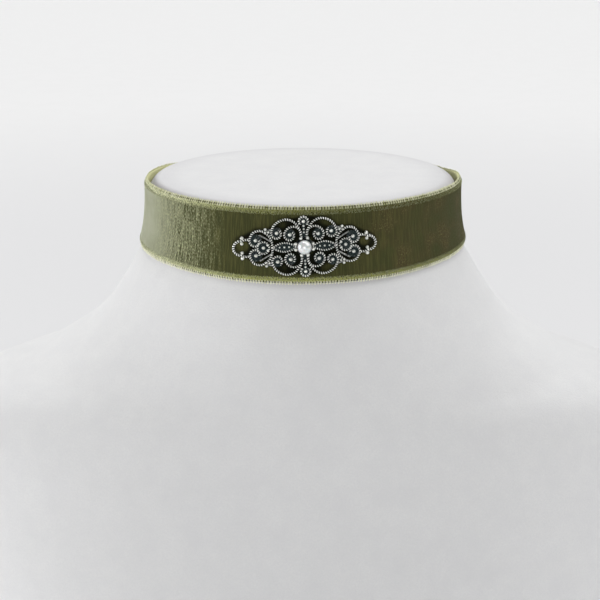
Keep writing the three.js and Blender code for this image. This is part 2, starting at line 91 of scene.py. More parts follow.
# Millimetres along the pile's face for each radian round the neck
PER_RADIAN = NECK_RADIUS + PILE_THICKNESS
RIBBON_END = np.pi - HALF_OPENING / PER_RADIAN
print("ribbon:", RIBBON_WIDTH, "mm wide,", round(2 * RIBBON_END * PER_RADIAN), "mm along its top edge")

# %% [markdown]
# ## Curves
# Three small rules shape nearly everything here: a soft rise, a cubic from one value to the next, and a lathe,
# which turns a section round an upright axis.
# %% Curves and the lathe
def ease(t):
    """Rise from 0 to 1 with level ends: 3 t squared less 2 t cubed."""
    t = np.clip(t, 0, 1)
    return t * t * (3 - 2 * t)


def hermite(t, first, last, leaving, arriving):
    """Cubic from one value to the next, as t goes from 0 to 1, with the slope at each end."""
    return (
        (1 + 2 * t) * (1 - t) ** 2 * first + t * (1 - t) ** 2 * leaving
        + t * t * (3 - 2 * t) * last - t * t * (1 - t) * arriving
    )


def lathed(radius, height, columns):
    """Points of a section turned round the upright axis: each radius with its height, once for every column."""
    turn = np.linspace(0, 2 * np.pi, columns, endpoint=False)
    radius, height = np.reshape(radius, (-1, 1)), np.reshape(height, (-1, 1))
    return np.stack(np.broadcast_arrays(radius * np.cos(turn), radius * np.sin(turn), height), -1)


# %% [markdown]
# ## Surfaces as arrays
# A surface is a grid of points, one row after another, and its faces join each point to its neighbours. Writing
# the grid as one array is quick even for a hundred thousand points. A shell here is a dictionary: points, faces
# as lists of corners, and any values that a material reads at the points.
# %% Shells from grids of points
def grid_shell(points, around=False, along=False, caps=False, **values):
    """Faces over grids of points, of shape (..., rows, columns, 3). around joins the last column to the first,
    along the last row to the first, and caps closes the first and the last row with a fan to its middle."""
    rows, columns = points.shape[-3:-1]
    grids = points.reshape(-1, rows * columns, 3)
    r = np.arange(rows if along else rows - 1)[:, None]
    c = np.arange(columns if around else columns - 1)[None, :]
    r2, c2 = (r + 1) % rows, (c + 1) % columns
    corners = [r * columns + c, r * columns + c2, r2 * columns + c2, r2 * columns + c]
    quads = np.stack(corners, -1).reshape(-1, 4)
    starts = np.arange(len(grids))[:, None, None]
    shell = {"points": grids.reshape(-1, 3), "faces": [(quads + starts * rows * columns).reshape(-1, 4)]}
    shell["values"] = {name: np.broadcast_to(v, points.shape[:-1]).reshape(-1) for name, v in values.items()}
    if caps:
        for row, turn in ((0, -1), (rows - 1, 1)):
            hubs = points.reshape(-1, rows, columns, 3)[:, row].mean(axis=1)
            first = len(shell["points"])
            ring = row * columns + np.arange(columns)[::turn]
            hub = np.broadcast_to(first + starts, (len(grids), columns, 1))
            near = (ring + starts[..., 0] * rows * columns)[..., None]
            fan = np.concatenate([hub, near, np.roll(near, -1, axis=1)], -1).reshape(-1, 3)
            shell["faces"].append(fan)
            shell["points"] = np.concatenate([shell["points"], hubs])
            for name, v in shell["values"].items():
                at_row = v[: len(grids) * rows * columns].reshape(-1, rows, columns)[:, row].mean(axis=1)
                shell["values"][name] = np.concatenate([v, at_row])
    return shell


def joined(shells):
    """One shell of several: their points one after another, and their faces moved on to match."""
    starts = np.cumsum([0] + [len(s["points"]) for s in shells])
    names = shells[0]["values"]
    return {
        "points": np.concatenate([s["points"] for s in shells]),
        "faces": [f + start for s, start in zip(shells, starts) for f in s["faces"]],
        "values": {name: np.concatenate([s["values"][name] for s in shells]) for name in names},
    }


def outward(shell):
    """The shell with its faces turned outwards. They are when the sum over the faces, of one corner times the cross
    product of the next two, is positive."""
    p = shell["points"]
    volume = sum(float(np.sum(p[f[:, 0]] * np.cross(p[f[:, 1]], p[f[:, 2]]))) for f in shell["faces"])
    if volume < 0:
        shell["faces"] = [f[:, ::-1] for f in shell["faces"]]
    return shell


# %% [markdown]
# A shell becomes a piece of the scene in one go: its arrays are copied into a mesh, in metres. The piece's place
# is in its mesh, so the object itself stays at the origin, and it rides on the model's one body.
# %% Pieces from shells
def give_values(mesh, name, values):
    """One number at each point of a mesh, which its material reads by name."""
    mesh.attributes.new(name, "FLOAT", "POINT").data.foreach_set("value", np.float32(values))


def make_piece(name, shell, material):
    """Mesh object of a shell, in metres, with the shell's values as attributes of its points."""
    mesh = bpy.data.meshes.new(name)
    corners = np.concatenate([f.reshape(-1) for f in shell["faces"]])
    sizes = np.concatenate([np.full(len(f), f.shape[1]) for f in shell["faces"]])
    mesh.vertices.add(len(shell["points"]))
    mesh.vertices.foreach_set("co", (shell["points"] * MM).astype(np.float32).ravel())
    mesh.loops.add(len(corners))
    mesh.loops.foreach_set("vertex_index", corners.astype(np.int32))
    mesh.polygons.add(len(sizes))
    mesh.polygons.foreach_set("loop_start", np.concatenate([[0], np.cumsum(sizes)[:-1]]).astype(np.int32))
    mesh.polygons.foreach_set("use_smooth", np.ones(len(sizes), bool))
    mesh.update(calc_edges=True)
    mesh.validate()
    for attribute, values in shell["values"].items():
        give_values(mesh, attribute, values)
    mesh.materials.append(material)
    piece = bpy.data.objects.new(name, mesh)
    bpy.context.scene.collection.objects.link(piece)
    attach(piece, "root")
    print(f"{name}: {int((sizes - 2).sum())} triangles")
    return piece


# %% [markdown]
# ## Colours and nodes
# A hex colour is what a screen shows, so it is turned into linear light before it goes into a shader. A material
# is a small graph of nodes, and one function adds each node with its settings and what feeds it.
# %% Colours and nodes
def linear(hex_colour):
    """Linear light of an sRGB hex colour: (c + 0.055) / 1.055 to the power 2.4, or c / 12.92 near black."""
    c = np.array([int(hex_colour[i : i + 2], 16) for i in (1, 3, 5)]) / 255
    return (*np.where(c > 0.04045, ((c + 0.055) / 1.055) ** 2.4, c / 12.92), 1)


def add(tree, kind, inputs=(), **settings):
    """Add one node: settings are its properties, and inputs pairs each socket with a number, a hex colour or
    another node's socket."""
    node = tree.nodes.new("ShaderNode" + kind)
    for name, value in settings.items():
        setattr(node, name, value)
    for name, value in dict(inputs).items():
        if isinstance(value, bpy.types.NodeSocket):
            tree.links.new(value, node.inputs[name])
        else:
            node.inputs[name].default_value = linear(value) if isinstance(value, str) else value
    return node.outputs


def new_material(name):
    """Material with an empty tree, and the tree to add nodes to."""
    material = bpy.data.materials.new(name)
    material.use_nodes = True
    tree = material.node_tree
    tree.nodes.clear()
    return material, tree


# %% [markdown]
# ## Floor
# A seamless sheet of white paper: one wide disc, pale and matt, which fills the picture up to its top edge. Behind
# the form it has a painted shadow, a little greyer, as in a small tent where the form keeps some light off the
# paper.
# %% Floor
FLOOR_RADIUS = 14000
FLOOR_HEIGHT = -0.5
FLOOR_COLUMNS = 96
PAPER_MOTTLE_MM = 100 / 3
# Where the painted shadow on the paper is darkest, and from what distance to what distance it fades, in metres
SHADED_SPOT = (0, 0.45, 0)
SHADE_REACH = (0.2, 1.1)

paper, tree = new_material("matt white paper")
place = add(tree, "TexCoord")["Object"]
grain = add(tree, "TexNoise", {"Vector": place, "Scale": 1 / (PAPER_MOTTLE_MM * MM), "Detail": 3})["Fac"]
away = add(tree, "VectorMath", {0: place, 1: SHADED_SPOT}, operation="DISTANCE")["Value"]
shaded = add(tree, "MapRange", {
    "Value": away, "From Min": SHADE_REACH[0], "From Max": SHADE_REACH[1], "To Min": 1, "To Max": 0,
}, interpolation_type="SMOOTHSTEP")[0]
tint = add(tree, "Mix", {"Factor": grain, 6: "#f1f1f1", 7: "#f4f4f4"}, data_type="RGBA")[2]
# Painted shadow of the form on the paper
tint = add(tree, "Mix", {"Factor": shaded, 6: tint, 7: "#e7e7e8"}, data_type="RGBA")[2]
surface = add(tree, "BsdfPrincipled", {"Base Color": tint, "Roughness": 0.9, "Specular IOR Level": 0.2})[0]
add(tree, "OutputMaterial", {"Surface": surface})

disc = lathed(FLOOR_RADIUS * np.linspace(0.02, 1, 12) ** 2, FLOOR_HEIGHT, FLOOR_COLUMNS)
floor_shell = grid_shell(disc, around=True)
ring = np.arange(FLOOR_COLUMNS)
hub = np.full_like(ring, len(floor_shell["points"]))
floor_shell["points"] = np.concatenate([floor_shell["points"], [[0, 0, FLOOR_HEIGHT]]])
floor_shell["faces"] = [floor_shell["faces"][0][:, ::-1], np.stack([hub, ring, np.roll(ring, -1)], -1)]
floor = make_piece("floor", floor_shell, paper)

# %% [markdown]
# ## Light
# A product tent with four soft panels: the strongest stands low on the left, one is in front, and the other two
# are high at the right and behind. The paper throws their light up again, so the chest is a light grey and the
# shoulders are nearly white. Each panel is a sun with a wide angle, which lights the whole paper evenly, as a
# lamp of a real size can't.
# %% Light
LAMPS = [
    # name, direction the light comes from, width of the source in degrees, strength
    ("left_panel", (-1.0, 0.0, 0.1), 30, 2.25),
    ("right_panel", (1.0, 0.0, 1.2), 50, 1.37),
    ("front_panel", (0.0, -1.0, 0.0), 50, 1.66),
    ("back_panel", (0.0, 1.0, 1.5), 50, 1.86),
]
SKY = 0.02

for name, place, width, strength in LAMPS:
    lamp = bpy.data.lights.new(name, "SUN")
    lamp.energy = strength
    lamp.angle = np.radians(width)
    shade = bpy.data.objects.new(name, lamp)
    shade.rotation_euler = Vector(place).to_track_quat("Z", "Y").to_euler()
    bpy.context.scene.collection.objects.link(shade)

world = bpy.data.worlds.new("studio")
world.use_nodes = True
world.node_tree.nodes["Background"].inputs["Color"].default_value = linear("#ffffff")
world.node_tree.nodes["Background"].inputs["Strength"].default_value = SKY
bpy.context.scene.world = world
print(len(LAMPS), "lamps")

# %% [markdown]
# ## Neck form
# The display form is foam covered with white flocked cloth. Its shape is a stack of level outlines: at each
# height a half width, a front depth and a back depth, and how square the outline is. The model lists a few of
# them, and a smooth curve through the list gives as many rows as the eye needs.
# %% Outlines of the neck form
# Share of the drop below the neck; shares of the way to the shoulder's width and to the chest's and the back's
# depth; squareness
SECTIONS = np.array([
    (0.0, 0.0, 0.0, 0.0, 2.0),
    (0.024, 0.033, 0.05, 0.03, 2.0),
    (0.055, 0.072, 0.105, 0.1, 2.0),
    (0.084, 0.116, 0.152, 0.2, 2.0),
    (0.115, 0.164, 0.197, 0.3, 2.0),
    (0.146, 0.231, 0.238, 0.42, 2.0),
    (0.169, 0.298, 0.266, 0.52, 2.0),
    (0.193, 0.385, 0.293, 0.62, 2.0),
    (0.217, 0.477, 0.319, 0.72, 2.0),
    (0.235, 0.563, 0.338, 0.8, 2.0),
    (0.253, 0.69, 0.357, 0.86, 2.02),
    (0.274, 0.809, 0.378, 0.92, 2.04),
    (0.307, 0.911, 0.41, 0.97, 2.06),
    (0.349, 0.973, 0.45, 1.0, 2.08),
    (0.41, 1.0, 0.507, 1.0, 2.1),
    (0.542, 0.986, 0.63, 0.9, 2.1),
    (0.723, 0.904, 0.79, 0.6, 2.1),
    (0.873, 0.809, 0.913, 0.35, 2.1),
    (1.0, 0.713, 1.0, 0.1, 2.1),
])
print(len(SECTIONS), "outlines in the list")

# %% [markdown]
# The curve through the listed outlines must never bulge past them, so it is level wherever the list turns back.
# An outline is a superellipse, which can be a little squarer than a circle, as shoulders are.
# %% Curve through the outlines
def smooth_through(x, values, x_new):
    """Curve through the values that never overshoots them: between two rows a cubic whose slopes are the
    harmonic means of the neighbouring slopes, or level where those differ in sign."""
    step = np.diff(x)[:, None]
    slope = np.diff(values, axis=0) / step
    with np.errstate(divide="ignore", invalid="ignore"):
        mean = 2 * slope[1:] * slope[:-1] / (slope[1:] + slope[:-1])
    mean = np.where(slope[1:] * slope[:-1] > 0, mean, 0)
    ends = np.concatenate([slope[:1], mean, slope[-1:]])
    i = np.clip(np.searchsorted(x, x_new, side="right") - 1, 0, len(x) - 2)
    t = ((x_new - x[i]) / np.diff(x)[i])[:, None]
    return hermite(t, values[i], values[i + 1], step[i] * ends[i], step[i] * ends[i + 1])


def outline(width, front, back, square, angle):
    """x and y of a level outline at an angle from the front towards +X: each half is a superellipse, the sine
    and the cosine to the power 2 / square, with its own depth to the front and to the back."""
    s, c = np.sin(angle), np.cos(angle)
    x = width * np.sign(s) * np.abs(s) ** (2 / square)
    y = np.where(c > 0, front, back) * np.sign(c) * np.abs(c) ** (2 / square)
    return x, AXIS_Y - y


# %% [markdown]
# The rows go from the top down: the flat top, its rounded edge, the hollow neck, the torso from the list, and the
# rounded edge of the base. The flare has the most rows, because the eye follows its line.
# %% Neck form's surface
FORM_COLUMNS = 288
# Radius of the flat top's inmost ring, and the share of the drop where the flare has become the shoulder
INMOST_RING = 30
FLARE_ENDS = 0.41


def neck_growth(drop):
    """How much wider the neck is at a depth below its top: a power of the drop, slow at first."""
    return NECK_WIDENING * (np.maximum(drop, 0) / NECK_LENGTH) ** NECK_HOLLOW


def round_levels(height, radius):
    """Round outlines: height, one radius for the width and both depths, and the squareness of a circle."""
    return np.stack(np.broadcast_arrays(height, radius, radius, radius, 2.0), -1)


foot = NECK_RADIUS + NECK_WIDENING
below = BUST_HEIGHT - NECK_LENGTH
flat_top = np.linspace(INMOST_RING, NECK_RADIUS - NECK_EDGE_RADIUS, 12)[:-1]
edge_turns = np.linspace(0, np.pi / 2, 15)
edge_drop = NECK_EDGE_RADIUS * (1 - np.cos(edge_turns))
edge_radius = NECK_RADIUS + neck_growth(edge_drop) - NECK_EDGE_RADIUS * (1 - np.sin(edge_turns))
neck_drop = np.linspace(NECK_EDGE_RADIUS, NECK_LENGTH, 26)[1:-1]
torso_share = np.concatenate([np.linspace(0, FLARE_ENDS, 120), np.linspace(FLARE_ENDS, 1, 80)[1:]])
torso = smooth_through(SECTIONS[:, 0], SECTIONS[:, 1:], torso_share)
reach = np.array([SHOULDER_HALF_WIDTH, CHEST_DEPTH, BACK_DEPTH])
levels = np.concatenate([
    round_levels(BUST_HEIGHT, flat_top),
    round_levels(BUST_HEIGHT - edge_drop, edge_radius),
    round_levels(BUST_HEIGHT - neck_drop, NECK_RADIUS + neck_growth(neck_drop)),
    np.concatenate([
        below - (below - BASE_EDGE_RADIUS) * torso_share[:, None],
        foot + torso[:, :3] * (reach - foot),
        torso[:, 3:],
    ], axis=1),
])
base_turns = np.linspace(0, np.pi / 2, 7)[1:]
rounded = np.repeat(levels[-1:], len(base_turns), axis=0)
rounded[:, 0] = BASE_EDGE_RADIUS * (1 - np.sin(base_turns))
rounded[:, 1:4] -= (BASE_EDGE_RADIUS * (1 - np.cos(base_turns)))[:, None]
levels = np.concatenate([levels, rounded])
angle = np.linspace(0, 2 * np.pi, FORM_COLUMNS, endpoint=False)
x, y = outline(*(levels[:, i : i + 1] for i in range(1, 5)), angle)
z = np.broadcast_to(levels[:, :1], x.shape)
print(len(levels), "rows on the neck form, highest", z.max(), "mm")

# %% [markdown]
# The cloth is a fine knit with a flock of short fibres on it, so it is nearly a perfect diffuser: no gloss, a
# faint mottle, and a grain that the bump gives. The flock is a tenth of a millimetre fine and is drawn at half a
# millimetre, so that it shows.
# %% Flocked cloth
FLOCK_GRAIN_MM = 0.55
MOTTLE_MM = 25 / 3

flock, tree = new_material("white flocked cloth")
place = add(tree, "TexCoord")["Object"]
fibres = add(tree, "TexNoise", {"Vector": place, "Scale": 1 / (FLOCK_GRAIN_MM * MM), "Detail": 2})["Fac"]
mottle = {"Vector": place, "Scale": 1 / (MOTTLE_MM * MM), "Detail": 4, "Roughness": 0.6}
mottle = add(tree, "TexNoise", mottle)["Fac"]
speck = add(tree, "Math", {0: fibres, 1: mottle}, operation="MULTIPLY")[0]
share = add(tree, "MapRange", {"Value": speck, "From Min": 0.1, "From Max": 0.4})[0]
colour = add(tree, "Mix", {"Factor": share, 6: "#e4e4e5", 7: "#eaeaea"}, data_type="RGBA")[2]
# Painted shadow beside the ribbon's edges, where the ribbon keeps light off the cloth
painted_shadow_at = add(tree, "Attribute", attribute_name="painted_shadow")["Fac"]
colour = add(tree, "Mix", {"Factor": painted_shadow_at, 6: colour, 7: "#a8a5ac"}, data_type="RGBA")[2]
bump = add(tree, "Bump", {"Height": fibres, "Strength": 0.35, "Distance": 0.0002})[0]
surface = add(tree, "BsdfPrincipled", {
    "Base Color": colour,
    "Roughness": 0.95,
    "Specular IOR Level": 0.15,
    "Sheen Weight": 0.15,
    "Sheen Roughness": 0.6,
    "Normal": bump,
})[0]
add(tree, "OutputMaterial", {"Surface": surface})

form_shell = outward(grid_shell(np.stack([x, y, z], -1), around=True, caps=True))
neck_form = make_piece("neck_form", form_shell, flock)
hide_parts("neck_bust")

# %% [markdown]
# ## Velvet ribbon
# Cut-pile velvet ribbon is woven with two thin selvedges and a field of upright fibres between them. It lies
# round the neck, so a point of it is an angle from the front, a distance down from its top edge, and a distance
# out from the neck. Every piece of the ribbon is made in those three numbers and then carried round the neck.
# %% Round the neck
FRONT_RISE = 1.5
SIDE_RISE = 0.3
TOP_WAVE = 0.5
FOOT_WAVE = 0.5
TOP_DROP = 0.75
# Sag behind: its depth, and in radians from the front where it starts at the left and the right, how far it
# takes to grow, where it ends, and how far it takes to fade
BACK_DIP = 1.3
DIP_STARTS = (1.95, 1.5)
DIP_GROWS = 0.45
DIP_ENDS = 2.7
DIP_FADES = 0.5
STRAIGHT_SLOPE = NECK_WIDENING / NECK_LENGTH


def standoff(angle):
    """Gap under the ribbon: the clearance, and at the back a rise over the clasp's inner wall."""
    from_end = (RIBBON_END - np.abs(angle)) * NECK_RADIUS
    lift = 1 - ease((from_end - JAW_OVERLAP) / (LIFT_LENGTH - JAW_OVERLAP))
    return CLEARANCE + lift * (JAW_WALL + CLEARANCE)


def straightness(angle):
    """1 where the plaque and the clasp hold the ribbon straight, easing to 0 between them, over the hollow."""
    from_plaque = np.abs(angle) * NECK_RADIUS - PLAQUE_HALF_LENGTH
    from_clasp = (RIBBON_END - np.abs(angle)) * NECK_RADIUS - LIFT_LENGTH
    return 1 - ease(from_plaque / STRAIGHTEN_LENGTH) * ease(from_clasp / STRAIGHTEN_LENGTH)


def round_neck(angle, down, out):
    """Point on the band: the top edge waves with the angle's cosine, sine and double cosine, the foot hangs
    lower at the front and the back, and the radius is between the neck's hollow line and a straight one. Behind,
    the whole band sags a little between the sides and the clasp."""
    around = np.abs(angle)
    grown = ease((around - np.where(angle < 0, *DIP_STARTS)) / DIP_GROWS)
    behind = grown * ease((DIP_ENDS - around) / DIP_FADES)
    top = BUST_HEIGHT - TOP_DROP + FRONT_RISE * np.cos(angle) + SIDE_RISE * np.sin(angle)
    top = top - TOP_WAVE * np.cos(2 * angle) - BACK_DIP * behind
    hang = FOOT_WAVE * np.cos(2 * angle) * down / RIBBON_WIDTH
    height = top - down * np.sqrt(1 - STRAIGHT_SLOPE**2) - hang
    drop = np.maximum(BUST_HEIGHT - height, 0)
    share = straightness(angle)
    radius = NECK_RADIUS + share * STRAIGHT_SLOPE * drop + (1 - share) * neck_growth(drop) + out
    return np.stack(np.broadcast_arrays(radius * np.sin(angle), AXIS_Y - radius * np.cos(angle), height), -1)


# %% [markdown]
# The white cloth has a painted shadow beside the ribbon's two edges, where the ribbon keeps light off it. Each
# point of the neck form gets its distance from the band, and the painted shadow fades out over a few millimetres.
# %% Painted shadow on the cloth beside the ribbon
# How dark the painted shadow is, full up to how many millimetres from the band, and fading over how many
LINE_ABOVE = (0.45, 1.5, 3)
SHADE_ABOVE = (0.25, 0, 13)
LINE_BELOW = (0.4, 0.3, 2.5)


def fading(apart, most, full_to, fades_over):
    """Painted shadow at a distance from the band: the most near it, easing away to nothing."""
    return most * (1 - ease((apart - full_to) / fades_over))


form = form_shell["points"]
form_angle = np.arctan2(form[:, 0], AXIS_Y - form[:, 1])
upper_edge = round_neck(form_angle, 0.0, CLEARANCE)
lower_edge = round_neck(form_angle, RIBBON_WIDTH, CLEARANCE)
beyond = np.maximum(0, np.maximum(form[:, 2] - upper_edge[:, 2], lower_edge[:, 2] - form[:, 2]))
at_top = form[:, 2] > (upper_edge[:, 2] + lower_edge[:, 2]) / 2
nearer = np.where(at_top[:, None], upper_edge, lower_edge)
apart = np.hypot(beyond, np.hypot(*(form - nearer)[:, :2].T))
above = fading(apart, *LINE_ABOVE) + fading(apart, *SHADE_ABOVE)
painted_shadow = np.where(at_top, above, fading(apart, *LINE_BELOW))
give_values(neck_form.data, "painted_shadow", painted_shadow)
print("greyed points of the neck form:", int((painted_shadow > 0.01).sum()))

# %% [markdown]
# The cloth's section is a flat band with a cushion of pile on its front, which rises over the selvedge's width.
# The pile leans a little unevenly, so its face has shallow waves. Values go with each point for the material: how
# far along and how far down the ribbon it is, in millimetres, how near the pile's edge, and whether it is on the
# pile or on the inner face.
# %% Velvet cloth
RIBBON_COLUMNS = 720
# Distances from the ribbon's edge: where the pile begins and has its full height; where it starts to lean out,
# leans the most and stands upright again
SHOULDER = (0.9, 2.3)
LEANING_BAND = (0.5, 0.8, 2.1)
CROWN_GROWS = 1.5
WAVE_HEIGHT = 0.05

fold = SELVEDGE_THICKNESS / 2
edge_turn = np.linspace(-np.pi / 2, np.pi / 2, 6)
slope = np.linspace(0, 1, 6)
half_down = np.concatenate([fold * (1 - np.cos(edge_turn)), SHOULDER[0] + (SHOULDER[1] - SHOULDER[0]) * slope])
half_out = np.concatenate([
    fold * (1 + np.sin(edge_turn)), SELVEDGE_THICKNESS + (PILE_THICKNESS - SELVEDGE_THICKNESS) * ease(slope),
])
field_down = np.linspace(SHOULDER[1], RIBBON_WIDTH - SHOULDER[1], 46)[1:-1]
back_down = np.linspace(RIBBON_WIDTH - fold, fold, 14)[1:-1]
down = np.concatenate([half_down, field_down, RIBBON_WIDTH - half_down[::-1], back_down])
out = np.concatenate([half_out, 0 * field_down + PILE_THICKNESS, half_out[::-1], 0 * back_down])
angle = np.linspace(-RIBBON_END, RIBBON_END, RIBBON_COLUMNS)[:, None]
along = angle * PER_RADIAN
from_edge = np.minimum(down, RIBBON_WIDTH - down)
# Waves a few millimetres long, which fade out at the cushion's edges
crown = WAVE_HEIGHT * ease((from_edge - SHOULDER[1]) / CROWN_GROWS) * (out > SELVEDGE_THICKNESS)
wave = np.sin(along / 2.3 + np.sin(down / 4)) * np.sin(along / 5.1 + down / 6)
band = round_neck(angle, down, standoff(angle) + out + crown * wave)
velvet_shell = outward(grid_shell(
    band, around=True, caps=True,
    along_mm=along,
    down_mm=down,
    pile=(out > SELVEDGE_THICKNESS + 0.02).astype(float),
    edge=np.interp(from_edge, LEANING_BAND, (0, 1, 0)),
    inside=(out < fold).astype(float),
))
print("velvet cloth:", band.shape[:2], "points along and round its section")

# %% [markdown]
# Velvet is dark where one looks straight into the pile, because the light goes in between the fibres, and pale
# where the fibres are seen from the side. Its looks are patterns on the ribbon's own millimetres, along and down,
# so that paleness is painted in them as sheen.
# Real tufts and the rows that they stand in are about 0.2 mm apart, too fine to show here, so the rows are drawn
# about 0.4 mm apart, as upright streaks, and the tufts as grains of 0.2 by 0.8 mm.
# %% Patterns of the pile
PATTERNS = {
    # width along the ribbon and length down it, in millimetres, and how rough the pattern is
    "streaks": (0.38, 7.0, 0.6),
    "tufts": (0.17, 0.8, 0.5),
    "clumps": (0.25, 0.6, 0.5),
}
BRUISE_MM = 100 / 9

velvet, tree = new_material("rayon cut velvet")
at = {}
for name in ("along_mm", "down_mm", "pile", "inside", "crushed_and_shade", "edge"):
    at[name] = add(tree, "Attribute", attribute_name=name)["Fac"]
flat = add(tree, "CombineXYZ", {"X": at["along_mm"], "Y": at["down_mm"]})[0]
for name, (width, length, roughness) in PATTERNS.items():
    scaled = add(tree, "VectorMath", {0: flat, 1: (1 / width, 1 / length, 1)}, operation="MULTIPLY")[0]
    pattern = {"Vector": scaled, "Scale": 1, "Detail": 1, "Roughness": roughness}
    at[name] = add(tree, "TexNoise", pattern)["Fac"]
pattern = {"Vector": flat, "Scale": 1 / BRUISE_MM, "Detail": 3, "Roughness": 0.55}
at["bruise"] = add(tree, "TexNoise", pattern)["Fac"]
at["relief"] = add(tree, "Math", {0: at["tufts"], 1: at["streaks"]}, operation="ADD")[0]
print("values on the velvet:", ", ".join(at))

# %% [markdown]
# At the left the pile has been stroked the other way, so it shows the sides of its fibres, silvery green: a painted
# sheen, for the light that comes from the left. By the plaque it stands up and is dark, and between the two zones
# single tufts have painted glints. A ramp turns a place or a pattern into a share: one number up to its start,
# another from its stop on, and evenly between them.
# %% Ramps on the velvet
RAMPS = {
    # what it reads, start, stop, share at the start, share at the stop
    # painted sheen on the pile that lies over at the left
    "stroked_and_sheen": ("along_mm", -58, -20, 1, 0),  # the pile lies over, at the left
    "unturned": ("along_mm", -125, -85, 0, 1),  # but not behind the neck
    "half_turn": ("along_mm", -61, -23, 0, np.pi),  # whose sine is 1 halfway between the zones
    # painted sheen on the fibres' sides, far left
    "painted_sheen": ("along_mm", -40, -75, 0, 1),  # the fibres' sides are paler, far left
    # painted sheen highlight where the ribbon turns away
    "rim": ("along_mm", -72, -83, 0, 0.6),  # and palest where the ribbon turns away
    "beyond": ("along_mm", 12, 25, 0, 1),  # right of the plaque's middle
    "rows": ("along_mm", -25, 15, 0.4, 0.32),  # how plainly the rows show
    "by_plaque": ("along_mm", 28, 55, 1, 0),  # and only as far as this
    # painted light on the leaning pile, paler at the left
    "leaning_lit": ("along_mm", -15, -55, 0, 1),  # the leaning pile is paler, at the left
    # painted light on the leaning pile, along the top edge and the foot
    "lit": ("along_mm", -40, 20, 1, 0.08),  # how much of it catches light along the top edge
    "low": ("down_mm", 10, 12, 0, 0.65),  # and how much more along the foot
    "at_edge": ("edge", 0.02, 0.25, 0, 1),
    "patchy": ("clumps", 0.3, 0.7, -1, 1),
    # painted glints: pale specks in patches right of the plaque
    "glint_specks": ("clumps", 0.58, 0.72, 0, 1),
    "tips": ("streaks", 0.42, 0.68, 0, 1),
    "in_rows": ("streaks", 0.35, 0.65, 0.2, 1.5),
    # painted glints of single tufts
    "glints": ("tufts", 0.52, 0.75, 0, 1),
    "grainy": ("relief", 0.7, 1.3, -0.5, 0.5),
    "browned": ("bruise", 0.62, 0.38, 0, 1),
    # patches for the painted glint specks
    "glint_patches": ("bruise", 0.5, 0.42, 0, 0.45),
    "mottled": ("bruise", 0.42, 0.62, 0, 0.4),
}
for name, (value, start, stop, low, high) in RAMPS.items():
    ends = {"Value": at[value], "From Min": start, "From Max": stop, "To Min": low, "To Max": high}
    at[name] = add(tree, "MapRange", ends)[0]
print(len(RAMPS), "ramps")

# %% [markdown]
# A look that needs two things at once, such as a place and a pattern, is the product of their shares. Nap is the
# share of the pile that lies over and shows the painted sheen of its sides: all of it at the left, and tuft by tuft
# between the zones. Fuzzy is the pile that leans out at the edges and shows its bright sides, in patches that thin
# out inwards, times the painted light on it.
# %% Shares of each look
SHARES = [
    # name, what is done, the values that go in
    ("stroked_and_sheen", "MULTIPLY", "stroked_and_sheen", "unturned"),
    ("painted_sheen", "MULTIPLY", "painted_sheen", "unturned"),
    ("mixed", "SINE", "half_turn"),
    ("nap_and_sheen", "MULTIPLY_ADD", "mixed", "grainy", "stroked_and_sheen"),
    ("glints", "MULTIPLY", "glints", "mixed"),
    ("glints", "MULTIPLY", "glints", "in_rows"),
    ("browned", "MULTIPLY", "browned", "beyond"),
    ("glint_patches", "MULTIPLY", "glint_patches", "beyond"),
    ("glint_specks", "MULTIPLY", "glint_specks", "glint_patches"),
    ("rows", "MULTIPLY", "rows", "by_plaque"),
    ("tips", "MULTIPLY", "tips", "rows"),
    ("fuzz_and_light", "ADD", "edge", "patchy"),
    ("lit", "ADD", "lit", "low"),
    ("lit", "MULTIPLY", "lit", "at_edge"),
]
for name, operation, *values in SHARES:
    inputs = {i: at[value] for i, value in enumerate(values)}
    at[name] = add(tree, "Math", inputs, operation=operation, use_clamp=True)[0]
for name, start, stop, kind in (("nap_and_sheen", 0.1, 1.0, "SMOOTHSTEP"), ("fuzz_and_light", 0.05, 0.65, "LINEAR")):
    ends = {"Value": at[name], "From Min": start, "From Max": stop}
    at[name] = add(tree, "MapRange", ends, interpolation_type=kind)[0]
# painted light on the leaning pile at the edges
at["fuzz_and_light"] = add(tree, "Math", {0: at["fuzz_and_light"], 1: at["lit"]}, operation="MULTIPLY")[0]
print(len(SHARES), "combined shares")

